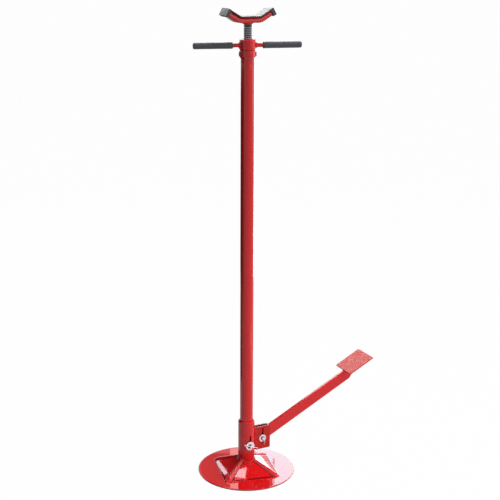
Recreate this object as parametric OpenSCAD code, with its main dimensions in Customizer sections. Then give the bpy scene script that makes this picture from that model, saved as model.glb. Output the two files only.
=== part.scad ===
// Under-hoist support stand. A long tube slides in a sleeve on a pressed round base. A pedal lifts the
// tube, and a nut with two handles, turning on a thrust bearing, runs a screw with a saddle up and down.
// The origin is on the floor, on the tube's axis. +X points along the pedal, +Z up. Sizes are in mm.

/* [Base] */
// Diameter of the round base plate
base_d = 300; // [270:5:340]
// Thickness of the pressed sheet
base_t = 4; // [3:0.5:5]
// Height of the pressing's top above the floor
press_h = 39; // [34:1:42]
// Distance of the pressing's four corners from the axis
press_corner_r = 121; // [110:1:128]
// Direction of the first ridge of the pressing, from the pedal side
ridge_turn = 32; // [0:1:89]
// Radius of a ridge at its foot
ridge_foot_r = 10; // [8:0.5:12]
// Radius of a ridge beside the sleeve
ridge_top_r = 5.5; // [5:0.5:7]
// Radius of the weld bead round the sleeve
weld_r = 3.2; // [2:0.2:4]

/* [Sleeve] */
// Wall of the sleeve
sleeve_wall = 5.2; // [4.5:0.1:7]
// Height of the sleeve's top above the floor
sleeve_top_z = 167; // [155:1:190]
// Length of the bevel at the sleeve's top
sleeve_bevel = 3; // [1:0.5:4]

/* [Column] */
// Outer diameter of the column tube
column_d = 40; // [39:0.5:46]
// Wall of the column tube
column_wall = 3; // [2:0.25:3]
// Height of the tube's lower end above the floor
column_foot_z = 44; // [42:1:50]
// Length of the tube
column_len = 1228; // [900:2:1400]
// Radial clearance between tube and sleeve
slide_gap = 0.25; // [0.1:0.05:0.5]

/* [Pedal] */
// Diameter of the two clevis pins
pin_d = 8; // [6:0.5:9]
// Height of the lift pin with the pedal up
lift_pin_z = 88; // [86:1:92]
// Lift of the column from one stroke of the pedal
lift_stroke = 30; // [20:1:32]
// Distance of the fulcrum pin from the axis
fulcrum_x = 51.5; // [50:0.5:56]
// Height of the fulcrum pin
fulcrum_z = 98; // [96:1:102]
// Slope of the arm with the pedal up, in degrees
arm_slope = 26.3; // [24:0.1:28]
// Depth of the flat bar
arm_depth = 35; // [32:1:36]
// Thickness of the flat bar
arm_t = 8; // [6:0.5:9]
// Distance from the fulcrum to the start of the bar's slanted end, along the bar
arm_reach = 349; // [280:1:400]
// Length of the bar's slanted end, along the bar
arm_scarf = 57; // [40:1:70]
// Length of the bar's straight part under the foot plate
pedal_lap = 7; // [0:1:30]
// Length of the foot plate along the bar
pedal_len = 95; // [80:1:120]
// Width of the foot plate
pedal_w = 88; // [70:1:110]
// Thickness of the foot plate
pedal_t = 4; // [3:0.5:6]

/* [Bracket] */
// Thickness of the bracket's sheet
bracket_t = 4.5; // [3:0.5:5]
// Clearance between the bar and each cheek
cheek_gap = 1; // [0.5:0.1:1.5]
// Length of the cheeks beyond the sleeve
bracket_len = 52.5; // [46:0.5:60]
// Height of the bracket's lower edge above the floor
bracket_z = 63; // [61:1:65]
// Height of the bracket
bracket_h = 74.5; // [74:0.5:80]
// Outer radius of the bracket's fold
fold_r = 7; // [6:0.5:8]

/* [Pins] */
// Thickness of the washers on the pins
washer_t = 2; // [1.5:0.25:3]
// Diameter of the lift pin's washers
lift_washer_d = 29; // [22:1:32]
// Diameter of the fulcrum pin's washers
fulcrum_washer_d = 24; // [18:1:26]
// Diameter of the split pins
cotter_d = 3.2; // [2.5:0.1:3.5]
// Length of the lift pin's split pin
lift_cotter_len = 42; // [34:1:50]
// Length of the fulcrum pin's split pin
fulcrum_cotter_len = 24; // [20:1:30]

/* [Head] */
// Wall of the bearing housing where it holds the tube's turned end
cap_wall = 1.2; // [1:0.1:1.6]
// How far the bearing housing stands out from the tube
head_step = 3.5; // [2:0.5:5]
// Wall of the bearing housing round the bearing
bearing_wall = 5; // [4:0.1:6]
// Depth of the seat that holds the tube
tube_seat = 9; // [7:0.5:14]
// Thickness of the housing's inner shoulder
shoulder_t = 2.9; // [2:0.1:4]
// Height of the housing above the tube's end
housing_up = 28.5; // [27:0.5:32]
// Diameter of the bearing's balls
ball_d = 3.18; // [3:0.01:3.5]
// Number of balls
ball_count = 18; // [8:1:20]
// Thickness of each bearing race
race_t = 2.6; // [2:0.1:3]
// Thread size of the two retaining bolts
bolt_d = 8; // [6:1:8]

/* [Handle] */
// Diameter of the turning nut
hub_d = 47; // [44:0.5:56]
// Height of the nut above the housing
hub_h = 31.5; // [30:0.5:44]
// Diameter of the handle rods
rod_d = 12; // [10:0.5:13]
// Distance of the rods' ends from the axis
rod_reach = 154.5; // [120:0.5:220]
// Diameter of the grips
grip_d = 19; // [17:0.5:24]
// Length of bare rod between the nut and each grip
rod_show = 20.5; // [12:0.5:60]
// Direction of the handles, from the pedal side
handle_turn = -14.8; // [-180:0.1:180]

/* [Screw] */
// Outer diameter of the screw
screw_d = 24; // [22:0.5:24]
// Length of screw that shows above the nut
screw_out = 38.7; // [20:0.1:80]
// Travel of the screw above that
screw_rise = 570; // [300:10:600]
// Thickness of the stop washer at the screw's foot
stop_washer_t = 3; // [2:0.5:4]

/* [Saddle] */
// Width of the steel channel
saddle_w = 40; // [36:1:60]
// Thickness of its steel
saddle_t = 4; // [3:0.5:5]
// Half of the flat length of the saddle
saddle_flat = 31; // [26:1:40]
// Length of each raised wing
wing_len = 38; // [25:1:60]
// Angle of the wings
wing_angle = 30; // [15:1:40]
// Depth of the channel with its lower plate, from its top
flange_h = 15; // [12:0.5:18]
// Radius of the bend, on the channel's top
bend_r = 22; // [10:1:40]
// Thickness of the rubber
pad_t = 4; // [3:0.5:6]
// Length of the rubber caps over the wings' ends
cap_len = 9; // [8:1:20]
// Height of the turned cup under the saddle
socket_h = 16; // [14:0.2:22]

/* [Hidden] */
$fn = 64;

// Clearances
seat_gap = 0.05;
pin_fit = 0.1;
run_gap = 0.3;
over = 1;

// Colours
enamel = [0.80, 0.10, 0.11];
zinc = [0.86, 0.86, 0.88];
dark_steel = [0.24, 0.24, 0.26];
bearing_steel = [0.70, 0.71, 0.73];
vinyl = [0.22, 0.24, 0.26];
rubber = [0.12, 0.12, 0.13];

// Base: a square pyramid pressed up out of the sheet, with a rounded ridge on each of its edges
press_top_r = 26;
rim_r = 1.2;
ridge_slope = atan((press_h - base_t) / (press_corner_r - press_top_r));
face_slope = atan(sqrt(2) * tan(ridge_slope));
ridge_sunk_share = 0.68;
ridge_foot_share = 0.91;
foot_embed = 9;

// Sleeve and column
sleeve_bore_r = column_d / 2 + slide_gap;
sleeve_r = sleeve_bore_r + sleeve_wall;
sleeve_foot_z = press_h - foot_embed;
column_r = column_d / 2;
column_bore_r = column_r - column_wall;
column_top_z = column_foot_z + column_len;
pin_slot_w = pin_d + 4 * run_gap;
lever_w = arm_t + 2 * cheek_gap;

// Bar: its own axes run along it from the fulcrum, with u outwards and v square to it
fulcrum_low = 4.5;
arm_v0 = fulcrum_low - arm_depth / 2;
arm_v1 = fulcrum_low + arm_depth / 2;
pin_drop = fulcrum_z - lift_pin_z;
eye_turn = atan(pin_drop / fulcrum_x);
eye_far = sqrt(pow(fulcrum_x, 2) + pow(max(pin_drop, lift_stroke - pin_drop), 2));
eye_play = 1.6;
eye_w = pin_d + eye_play;
eye_end = 3.5;
arm_u0 = -(eye_far + eye_w / 2 + eye_end) * cos(arm_slope - eye_turn);
edge_r = 1;
arm_tip = 3;
pedal_reach = arm_reach - pedal_lap;

// Openings for the bar in the sleeve and the tube
lever_drop = 25;
tube_slot_rise = 24;
lever_top_z = fulcrum_z + lift_stroke - over;
lever_low_z = lift_pin_z - lever_drop;
tube_slot_z = lift_pin_z + tube_slot_rise;

// Bracket
bracket_x = sleeve_r + seat_gap;
cheek_y = lever_w / 2;
bracket_y = cheek_y + bracket_t;
low_corner_r = 2.5;
top_corner_r = 5;
fulcrum_slot_h = lift_stroke;
web_slot_low = 6.5;
web_slot_high = 10.5;

// Pins and split pins
pin_head_d = pin_d * 1.6;
pin_head_t = pin_d * 0.35;
pin_end = 7;
pin_bevel = 0.8;
cotter_in = 3;
eye_r = 2.6;
fulcrum_eye_neck = 1;
lift_eye_neck = 12;
leg_d = cotter_d * 0.7;
short_leg_share = 0.6;
fulcrum_splays = [9, 9];
lift_splays = [0, 38];
fulcrum_cotter_turn = -71;
lift_cotter_turn = -22;
lift_seat_y = sleeve_r + run_gap;
fulcrum_seat_y = bracket_y + seat_gap;

// Head
housing_r = column_r + head_step;
seat_r = column_r - cap_wall - seat_gap;
bearing_r = housing_r - bearing_wall;
housing_z0 = column_top_z - tube_seat;
housing_z1 = column_top_z + housing_up;
shoulder_z = column_top_z + seat_gap;
floor_z = shoulder_z + shoulder_t;
housing_taper = 4.5;
groove_depth = 0.5;
ball_fit = 0.07;
ball_r = ball_d / 2;
bore_gap = 1;
race_in_r = screw_d / 2 + bore_gap;
race_out_r = bearing_r - pin_fit;
spin_r = bearing_r - run_gap;
pitch_r = (race_in_r + race_out_r) / 2;
ball_z = floor_z + seat_gap + race_t - groove_depth + ball_r;
race_gap = ball_r - groove_depth;
cage_t = 1.2;
cage_edge = 0.3;
spigot_z = ball_z + race_gap + race_t + seat_gap;
bolt_turn = -27.5;
bolt_drop = 11.5;
bolt_z = housing_z1 - bolt_drop;
bolt_head_d = bolt_d * 15 / 8;
bolt_head_t = bolt_d * 3.2 / 8;
spot_depth = 1.4;
spot_gap = 2;
bolt_seat_r = housing_r - spot_depth;
spot_d = bolt_head_d + spot_gap;
dog_d = bolt_d * 0.75;
dog_play = 0.5;
spigot_wall = 2.4;
groove_r = race_in_r + spigot_wall;

// Nut and handles
hub_z0 = housing_z1 + 2 * run_gap;
hub_z1 = hub_z0 + hub_h;
hub_r = hub_d / 2;
boss_wall = 2;
boss_r = screw_d / 2 + boss_wall;
boss_h = 2.4;
nut_r = screw_d / 2 + pin_fit;
rod_z = hub_z0 + hub_h * 0.396;
rod_seat = 3.5;
rod_root = hub_r - rod_seat;
root_weld_len = 5;
root_weld_d = rod_d * 1.1;
root_weld_foot_d = rod_d * 1.9;
grip_start = hub_r + rod_show;
grip_len = rod_reach + grip_wall() - grip_start;
grip_round = 3;

// Screw
screw_top_z = hub_z1 + screw_out;
screw_foot_z = spigot_foot() - screw_rise;
stem_r = screw_d * 0.375;
stem_short = 1.5;
stem_len = socket_h - stem_short;
screw_bevel = 1.5;
stop_overlap = 3.6;
stop_washer_r = screw_d / 2 + stop_overlap;
stop_bolt_d = 8;
stop_bolt_in = 16;
stop_head_d = 15;
stop_head_t = 5.3;

// Saddle: curve(d) is the line that lies d below the channel's top, bends included
saddle_z = screw_top_z + socket_h + saddle_t;
bend_x = saddle_flat - bend_r * tan(wing_angle / 2);
bend_step = wing_angle / 4;
cap_wall_t = 3;
cap_proud = 0.4;
pin_hole_d = 5;
cross_pin_z = screw_top_z + socket_h * 0.5;
socket_flare = 3;
socket_foot_r = screw_d / 2 + run_gap;
socket_top_r = screw_d / 2 + socket_flare;

function grip_wall() = (grip_d - rod_d) / 2;
function spigot_foot() = shoulder_z - run_gap;
function bend_point(d, a) = [bend_x + (bend_r + d) * sin(a), bend_r - (bend_r + d) * cos(a)];
function right_curve(d, s) = concat(
    [for (a = [0 : bend_step : wing_angle]) bend_point(d, a)],
    [wing_point(d, s)]
);
function wing_point(d, s) = [
    bend_x + (bend_r + d) * sin(wing_angle) + s * cos(wing_angle),
    bend_r - (bend_r + d) * cos(wing_angle) + s * sin(wing_angle)
];
function mirrored(points) = [for (i = [len(points) - 1 : -1 : 0]) [-points[i][0], points[i][1]]];
function reversed(points) = [for (i = [len(points) - 1 : -1 : 0]) points[i]];
function full_curve(d, s) = concat(mirrored(right_curve(d, s)), right_curve(d, s));

// A slot with round ends, from its first centre to its last, up the page
module slot_outline(w, run) {
    circle(d = w);
    translate([0, run]) circle(d = w);
    translate([-w / 2, 0]) square([w, run]);
}

// Cuts along Y, drawn as seen from the near side
module cut_y(depth) {
    rotate([90, 0, 0]) linear_extrude(height = depth, center = true) children();
}

// Cuts along X from the axis outwards
module cut_x(depth) {
    rotate([90, 0, 90]) linear_extrude(height = depth) children();
}

module pyramid(drop) {
    translate([0, 0, base_t - drop])
        rotate([0, 0, ridge_turn])
            cylinder(h = press_h - base_t, r1 = press_corner_r, r2 = press_top_r, $fn = 4);
}

// A ridge is a long taper with round ends, sunk along an edge of the pyramid
module ridge(angle, thin) {
    foot_r = ridge_foot_r - thin;
    top_r = ridge_top_r - thin;
    foot_at = press_corner_r * ridge_foot_share;
    run = (foot_at - press_top_r) / cos(ridge_slope);
    foot_z = base_t + (press_corner_r - foot_at) * tan(ridge_slope) - ridge_foot_r * ridge_sunk_share;
    sink_slope = atan((ridge_foot_r - ridge_top_r) * ridge_sunk_share / run);
    steps = [0 : 15 : 90];
    rotate([0, 0, ridge_turn + angle])
        translate([foot_at, 0, foot_z])
            rotate([0, -90 + ridge_slope + sink_slope, 0])
                rotate_extrude(convexity = 4)
                    polygon(concat(
                        [for (a = steps) [foot_r * sin(a), -foot_r * cos(a)]],
                        [for (a = steps) [top_r * cos(a), run + top_r * sin(a)]]
                    ));
}

module base_disc() {
    r = base_d / 2;
    rotate_extrude($fn = 180)
        polygon([
            [0, 0], [r - rim_r / 2, 0], [r, rim_r / 2], [r, base_t - rim_r],
            [r - rim_r * 0.3, base_t - rim_r * 0.3], [r - rim_r, base_t], [0, base_t]
        ]);
}

module base_plate() {
    color(enamel)
        difference() {
            union() {
                base_disc();
                pyramid(0);
                for (i = [0 : 3]) ridge(i * 90, 0);
                translate([0, 0, press_h - base_t / 2])
                    rotate_extrude() translate([sleeve_r, 0]) circle(r = weld_r, $fn = 24);
            }
            pyramid(base_t / cos(face_slope));
            for (i = [0 : 3]) ridge(i * 90, base_t);
            cylinder(h = press_h * 2, r = sleeve_r + seat_gap);
            translate([0, 0, -base_d / 2]) cube(base_d, center = true);
        }
}

module base_sleeve() {
    height = sleeve_top_z - sleeve_foot_z;
    color(enamel)
        difference() {
            translate([0, 0, sleeve_foot_z])
                rotate_extrude()
                    polygon([
                        [sleeve_bore_r, 0], [sleeve_r, 0], [sleeve_r, height - sleeve_bevel],
                        [sleeve_r - sleeve_bevel, height], [sleeve_bore_r, height]
                    ]);
            cut_y(sleeve_r * 4) translate([0, lift_pin_z]) slot_outline(pin_slot_w, lift_stroke);
            cut_x(sleeve_r * 2)
                translate([0, lever_low_z + lever_w / 2])
                    slot_outline(lever_w, lever_top_z - lever_low_z - lever_w);
        }
}

// The folded outline seen from above: a web against the sleeve and two cheeks
module bracket_fold() {
    x1 = bracket_x + bracket_len;
    inner_r = fold_r - bracket_t;
    outer = [for (a = [180 : 15 : 270]) [fold_r * cos(a), fold_r * sin(a)]];
    inner = [for (a = [270 : -15 : 180]) [inner_r * cos(a), inner_r * sin(a)]];
    near = concat(
        [for (p = outer) [p[0] + bracket_x + fold_r, p[1] - bracket_y + fold_r]],
        [[x1, -bracket_y], [x1, -cheek_y]],
        [for (p = inner) [p[0] + bracket_x + fold_r, p[1] - bracket_y + fold_r]]
    );
    outer_near = [for (i = [0 : 6]) near[i]];
    inner_near = [for (i = [9 : 15]) near[i]];
    polygon(concat(
        outer_near,
        [near[7], near[8]],
        inner_near,
        [for (p = reversed(inner_near)) [p[0], -p[1]]],
        [[x1, cheek_y], [x1, bracket_y]],
        [for (p = reversed(outer_near)) [p[0], -p[1]]]
    ));
}

// The cheeks' outline seen from the near side, with two rounded outer corners
module bracket_side() {
    x1 = bracket_x + bracket_len;
    z1 = bracket_z + bracket_h;
    low_r = low_corner_r;
    top_r = top_corner_r;
    polygon(concat(
        [[0, bracket_z]],
        [for (a = [-90 : 15 : 0]) [x1 - low_r + low_r * cos(a), bracket_z + low_r + low_r * sin(a)]],
        [for (a = [0 : 15 : 90]) [x1 - top_r + top_r * cos(a), z1 - top_r + top_r * sin(a)]],
        [[0, z1]]
    ));
}

module pedal_bracket() {
    slot_low = bracket_z + web_slot_low;
    slot_top = bracket_z + bracket_h - web_slot_high;
    color(enamel)
        difference() {
            intersection() {
                translate([0, 0, bracket_z]) linear_extrude(height = bracket_h) bracket_fold();
                cut_y(bracket_y * 4) bracket_side();
            }
            cut_y(bracket_y * 4)
                translate([fulcrum_x, fulcrum_z]) slot_outline(pin_d + 2 * pin_fit, fulcrum_slot_h);
            translate([0, -lever_w / 2, slot_low]) cube([bracket_x + fold_r, lever_w, slot_top - slot_low]);
        }
}

// A clevis pin along Y, with its head on the far side and the split pin's hole on the near side
module clevis_pin(seat_y, turn) {
    near = seat_y + washer_t + seat_gap + pin_end;
    far = seat_y + washer_t + seat_gap;
    r = pin_d / 2;
    color(zinc)
        difference() {
            rotate([-90, 0, 0])
                rotate_extrude()
                    polygon([
                        [0, -near], [r - pin_bevel, -near], [r, pin_bevel - near], [r, far],
                        [pin_head_d / 2, far], [pin_head_d / 2, far + pin_head_t - pin_bevel],
                        [pin_head_d / 2 - pin_bevel, far + pin_head_t], [0, far + pin_head_t]
                    ]);
            translate([0, cotter_y(seat_y), 0])
                rotate([0, 90 - turn, 0])
                    cylinder(h = pin_d * 2, d = cotter_d + 2 * pin_fit, center = true);
        }
}

function cotter_y(seat_y) = -(seat_y + washer_t + seat_gap + cotter_in);

module washer_pair(seat_y, outer_d) {
    color(zinc)
        for (side = [-1, 1])
            translate([0, side * (seat_y + washer_t / 2), 0])
                rotate([90, 0, 0])
                    difference() {
                        cylinder(h = washer_t, d = outer_d, center = true);
                        cylinder(h = washer_t * 2, d = pin_d + 2 * pin_fit, center = true);
                    }
}

// A split pin: an eye on its neck, a shank through the pin and two legs bent apart by the splays
module split_pin(length, turn, neck, splays) {
    shank = pin_d + eye_r / 2;
    tail = length - shank;
    color(zinc)
        rotate([0, -turn, 0])
            translate([-pin_d / 2, 0, 0]) {
                translate([-neck - eye_r - cotter_d / 2, 0, 0])
                    rotate([90, 0, 0])
                        rotate_extrude($fn = 32) translate([eye_r, 0]) circle(d = leg_d, $fn = 16);
                translate([-neck - cotter_d, 0, 0])
                    rotate([0, 90, 0]) cylinder(h = shank + neck + cotter_d, d = cotter_d);
                translate([shank - leg_d / 2, 0, leg_d / 4])
                    rotate([0, 90 - splays[0], 0]) cylinder(h = tail * short_leg_share, d = leg_d);
                translate([shank - leg_d / 2, 0, -leg_d / 4])
                    rotate([0, 90 + splays[1], 0]) cylinder(h = tail, d = leg_d);
            }
}

module fulcrum_pin() {
    translate([fulcrum_x, 0, fulcrum_z]) clevis_pin(fulcrum_seat_y, fulcrum_cotter_turn);
}

module fulcrum_washers() {
    translate([fulcrum_x, 0, fulcrum_z]) washer_pair(fulcrum_seat_y, fulcrum_washer_d);
}

module fulcrum_cotter() {
    translate([fulcrum_x, cotter_y(fulcrum_seat_y), fulcrum_z])
        split_pin(fulcrum_cotter_len, fulcrum_cotter_turn, fulcrum_eye_neck, fulcrum_splays);
}

module lift_pin() {
    translate([0, 0, lift_pin_z]) clevis_pin(lift_seat_y, lift_cotter_turn);
}

module lift_washers() {
    translate([0, 0, lift_pin_z]) washer_pair(lift_seat_y, lift_washer_d);
}

module lift_cotter() {
    translate([0, cotter_y(lift_seat_y), lift_pin_z])
        split_pin(lift_cotter_len, lift_cotter_turn, lift_eye_neck, lift_splays);
}

// Places a shape drawn along the bar, from the fulcrum
module along_arm() {
    translate([fulcrum_x, 0, fulcrum_z]) rotate([0, -arm_slope, 0]) children();
}

module pedal_arm() {
    color(enamel)
        along_arm()
            difference() {
                cut_y(arm_t)
                    polygon([
                        [arm_u0, arm_v0 + arm_tip], [arm_u0 + arm_tip, arm_v0],
                        [arm_reach, arm_v0], [arm_reach + arm_scarf, arm_v1],
                        [arm_u0 + arm_tip, arm_v1], [arm_u0, arm_v1 - arm_tip]
                    ]);
                cut_y(arm_t * 2) circle(d = pin_d + 2 * pin_fit);
                rotate([0, -(eye_turn - arm_slope), 0])
                    cut_y(arm_t * 2)
                        translate([-eye_far, 0])
                            rotate(-90) slot_outline(eye_w, eye_far - fulcrum_x);
            }
}

module pedal_plate() {
    color(enamel)
        along_arm()
            translate([pedal_reach, -pedal_w / 2, arm_v1 + seat_gap]) cube([pedal_len, pedal_w, pedal_t]);
}

module column_tube() {
    color(enamel)
        difference() {
            rotate_extrude()
                polygon([
                    [column_bore_r, column_foot_z], [column_r, column_foot_z],
                    [column_r, housing_z0 - seat_gap], [seat_r, housing_z0 - seat_gap],
                    [seat_r, column_top_z], [column_bore_r, column_top_z]
                ]);
            translate([0, 0, lift_pin_z])
                rotate([90, 0, 0]) cylinder(h = column_d * 2, d = pin_d + 2 * pin_fit, center = true);
            cut_x(column_d)
                translate([-lever_w / 2, column_foot_z - over])
                    square([lever_w, tube_slot_z - column_foot_z + over]);
        }
}

// Places a shape on each retaining bolt's axis, which runs along Z from the tube's axis outwards
module at_bolts() {
    for (side = [0, 180])
        rotate([0, 0, bolt_turn + side]) translate([0, 0, bolt_z]) rotate([0, 90, 0]) children();
}

module bearing_housing() {
    color(enamel)
        difference() {
            rotate_extrude()
                polygon([
                    [seat_r + seat_gap, housing_z0], [column_r, housing_z0],
                    [column_r, column_top_z + housing_taper],
                    [housing_r, column_top_z + 2 * housing_taper], [housing_r, housing_z1 - edge_r],
                    [housing_r - edge_r, housing_z1], [bearing_r, housing_z1], [bearing_r, floor_z],
                    [race_in_r + bore_gap, floor_z], [race_in_r + bore_gap, shoulder_z],
                    [seat_r + seat_gap, shoulder_z]
                ]);
            at_bolts() {
                cylinder(h = housing_r * 2, d = bolt_d + 2 * pin_fit);
                translate([0, 0, bolt_seat_r]) cylinder(h = housing_r, d = spot_d);
            }
        }
}

module retaining_bolts() {
    color(enamel)
        at_bolts() {
            translate([0, 0, bolt_seat_r + seat_gap]) cylinder(h = bolt_head_t, d = bolt_head_d, $fn = 6);
            translate([0, 0, bearing_r + seat_gap])
                cylinder(h = bolt_seat_r - bearing_r + bolt_head_t / 2, d = bolt_d);
            translate([0, 0, groove_r + dog_play])
                cylinder(h = bearing_r - groove_r, d = dog_d);
        }
}

// Both races are rings with a round track for the balls
module race(outer_r, low_z) {
    color(bearing_steel)
        difference() {
            translate([0, 0, low_z])
                rotate_extrude() translate([race_in_r, 0]) square([outer_r - race_in_r, race_t]);
            translate([0, 0, ball_z])
                rotate_extrude() translate([pitch_r, 0]) circle(r = ball_r + ball_fit, $fn = 48);
        }
}

module bearing_lower_race() {
    race(race_out_r, ball_z - race_gap - race_t);
}

module bearing_upper_race() {
    race(spin_r, ball_z + race_gap);
}

module at_balls() {
    for (i = [0 : ball_count - 1])
        rotate([0, 0, i * 360 / ball_count]) translate([pitch_r, 0, ball_z]) children();
}

module bearing_balls() {
    color(bearing_steel) at_balls() sphere(d = ball_d, $fn = 24);
}

module bearing_cage() {
    width = spin_r - race_in_r - 2 * cage_edge;
    color(bearing_steel)
        difference() {
            translate([0, 0, ball_z - cage_t / 2])
                rotate_extrude() translate([race_in_r + cage_edge, 0]) square([width, cage_t]);
            at_balls() cylinder(h = cage_t * 2, r = ball_r + pin_fit, center = true);
        }
}

// Places a shape on a handle rod's axis, which runs along Z from the tube's axis outwards
module at_handle(side) {
    rotate([0, 0, handle_turn + side]) translate([0, 0, rod_z]) rotate([0, 90, 0]) children();
}

module handle_hub() {
    flare = hub_d * 0.022;
    crown = hub_h * 0.05;
    groove_z0 = bolt_z - dog_d / 2 - dog_play;
    groove_z1 = bolt_z + dog_d / 2 + dog_play;
    color(enamel)
        difference() {
            union() {
                rotate_extrude($fn = 96)
                    polygon([
                        [nut_r, spigot_z], [spin_r, spigot_z], [spin_r, groove_z0], [groove_r, groove_z0],
                        [groove_r, groove_z1], [spin_r, groove_z1], [spin_r, hub_z0],
                        [hub_r - flare, hub_z0], [hub_r - flare / 4, hub_z0 + flare],
                        [hub_r, hub_z0 + flare * 2], [hub_r, hub_z1 - boss_h - crown],
                        [hub_r - crown / 3, hub_z1 - boss_h - crown / 3],
                        [hub_r - crown, hub_z1 - boss_h], [boss_r + edge_r, hub_z1 - boss_h],
                        [boss_r, hub_z1 - boss_h + edge_r / 2],
                        [boss_r, hub_z1 - edge_r], [boss_r - edge_r, hub_z1], [nut_r, hub_z1]
                    ]);
                for (side = [0, 180])
                    at_handle(side)
                        translate([0, 0, hub_r - root_weld_len])
                            cylinder(h = root_weld_len * 2, d1 = root_weld_foot_d, d2 = root_weld_d);
            }
            for (side = [0, 180])
                at_handle(side) translate([0, 0, rod_root]) cylinder(h = hub_d, d = rod_d + 2 * seat_gap);
        }
}

module handle_rod(side) {
    start = rod_root + seat_gap;
    color(enamel)
        at_handle(side)
            translate([0, 0, start])
                rotate_extrude()
                    polygon([
                        [0, 0], [rod_d / 2, 0], [rod_d / 2, rod_reach - start - edge_r],
                        [rod_d / 2 - edge_r, rod_reach - start], [0, rod_reach - start]
                    ]);
}

module handle_rod_left() {
    handle_rod(180);
}

module handle_rod_right() {
    handle_rod(0);
}

// A dipped vinyl sleeve, closed and rounded at its outer end
module grip(side) {
    r = grip_d / 2;
    bore = rod_d / 2 + seat_gap;
    wall = grip_wall();
    lip = wall / 3;
    color(vinyl)
        at_handle(side)
            translate([0, 0, grip_start])
                rotate_extrude()
                    polygon(concat(
                        [[bore, 0], [r - lip, 0], [r, lip]],
                        [for (a = [0 : 15 : 90]) [
                            r - grip_round + grip_round * cos(a), grip_len - grip_round + grip_round * sin(a)
                        ]],
                        [[0, grip_len], [0, grip_len - wall + seat_gap], [bore, grip_len - wall + seat_gap]]
                    ));
}

module grip_left() {
    grip(180);
}

module grip_right() {
    grip(0);
}

module lift_screw() {
    r = screw_d / 2;
    foot = screw_foot_z;
    color(dark_steel)
        difference() {
            rotate_extrude()
                polygon([
                    [0, foot], [r - screw_bevel, foot], [r, foot + screw_bevel],
                    [r, screw_top_z - screw_bevel], [r - screw_bevel, screw_top_z],
                    [stem_r, screw_top_z], [stem_r, screw_top_z + stem_len], [0, screw_top_z + stem_len]
                ]);
            translate([0, 0, foot - over])
                cylinder(h = stop_bolt_in + 2 * over, d = stop_bolt_d + 2 * pin_fit);
            translate([0, 0, cross_pin_z])
                rotate([90, 0, 0]) cylinder(h = screw_d * 2, d = pin_hole_d + 2 * seat_gap, center = true);
        }
}

module screw_stop_washer() {
    color(bearing_steel)
        translate([0, 0, screw_foot_z - seat_gap - stop_washer_t])
            difference() {
                cylinder(h = stop_washer_t, r = stop_washer_r);
                translate([0, 0, -over])
                    cylinder(h = stop_washer_t + 2 * over, d = stop_bolt_d + 2 * pin_fit);
            }
}

module screw_stop_bolt() {
    under = screw_foot_z - 2 * seat_gap - stop_washer_t;
    color(dark_steel) {
        translate([0, 0, under - stop_head_t]) cylinder(h = stop_head_t, d = stop_head_d, $fn = 6);
        translate([0, 0, under - stop_head_t / 2])
            cylinder(h = stop_head_t / 2 + stop_washer_t + stop_bolt_in, d = stop_bolt_d);
    }
}

module saddle_socket() {
    top = screw_top_z + socket_h - seat_gap;
    low = screw_top_z + seat_gap;
    under = max(saddle_z - flange_h, low + edge_r);
    color(enamel)
        difference() {
            rotate_extrude()
                polygon([
                    [stem_r + seat_gap, low], [socket_foot_r, low], [socket_top_r, under],
                    [socket_top_r, top], [stem_r + seat_gap, top]
                ]);
            translate([0, 0, cross_pin_z])
                rotate([90, 0, 0]) cylinder(h = screw_d * 2, d = pin_hole_d + 2 * seat_gap, center = true);
        }
}

module saddle_pin() {
    color(zinc)
        translate([0, 0, cross_pin_z])
            rotate([90, 0, 0]) cylinder(h = 2 * socket_foot_r, d = pin_hole_d, center = true);
}

// A slab between two lines below the channel's top, grown at both ends
module saddle_slab(d0, d1, grow, width) {
    translate([0, 0, saddle_z])
        cut_y(width)
            polygon(concat(full_curve(d0, wing_len + grow), reversed(full_curve(d1, wing_len + grow))));
}

// A bent channel, closed underneath by a plate that has a hole for the cup
module saddle_channel() {
    color(enamel)
        difference() {
            saddle_slab(0, flange_h, 0, saddle_w);
            saddle_slab(saddle_t, flange_h - saddle_t, over, saddle_w - 2 * saddle_t);
            translate([0, 0, screw_top_z]) cylinder(h = socket_h, r = socket_top_r + seat_gap);
        }
}

// The rubber caps that close over the two ends of the channel
module saddle_cap(side) {
    inner = wing_len - cap_len;
    outer = wing_len + cap_wall_t;
    points = [
        wing_point(-pad_t - cap_proud, inner), wing_point(-pad_t - cap_proud, outer),
        wing_point(flange_h + cap_wall_t, outer), wing_point(flange_h + cap_wall_t, inner)
    ];
    translate([0, 0, saddle_z])
        cut_y(saddle_w + 2 * cap_wall_t + 2 * cap_proud)
            polygon([for (p = points) [side * p[0], p[1]]]);
}

module saddle_pad() {
    color(rubber)
        difference() {
            union() {
                saddle_slab(-pad_t, 0, -cap_len / 2, saddle_w + 2 * cap_wall_t);
                saddle_cap(1);
                saddle_cap(-1);
            }
            saddle_slab(-seat_gap, flange_h + seat_gap, seat_gap, saddle_w + 2 * seat_gap);
        }
}

base_plate();
base_sleeve();
pedal_bracket();
fulcrum_pin();
fulcrum_washers();
fulcrum_cotter();
pedal_arm();
pedal_plate();
column_tube();
lift_pin();
lift_washers();
lift_cotter();
bearing_housing();
retaining_bolts();
bearing_lower_race();
bearing_balls();
bearing_cage();
bearing_upper_race();
handle_hub();
handle_rod_left();
handle_rod_right();
grip_left();
grip_right();
lift_screw();
screw_stop_washer();
screw_stop_bolt();
saddle_socket();
saddle_pin();
saddle_channel();
saddle_pad();
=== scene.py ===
import math

import bmesh
import bpy
import numpy as np
from mathutils import Matrix, Vector


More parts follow.
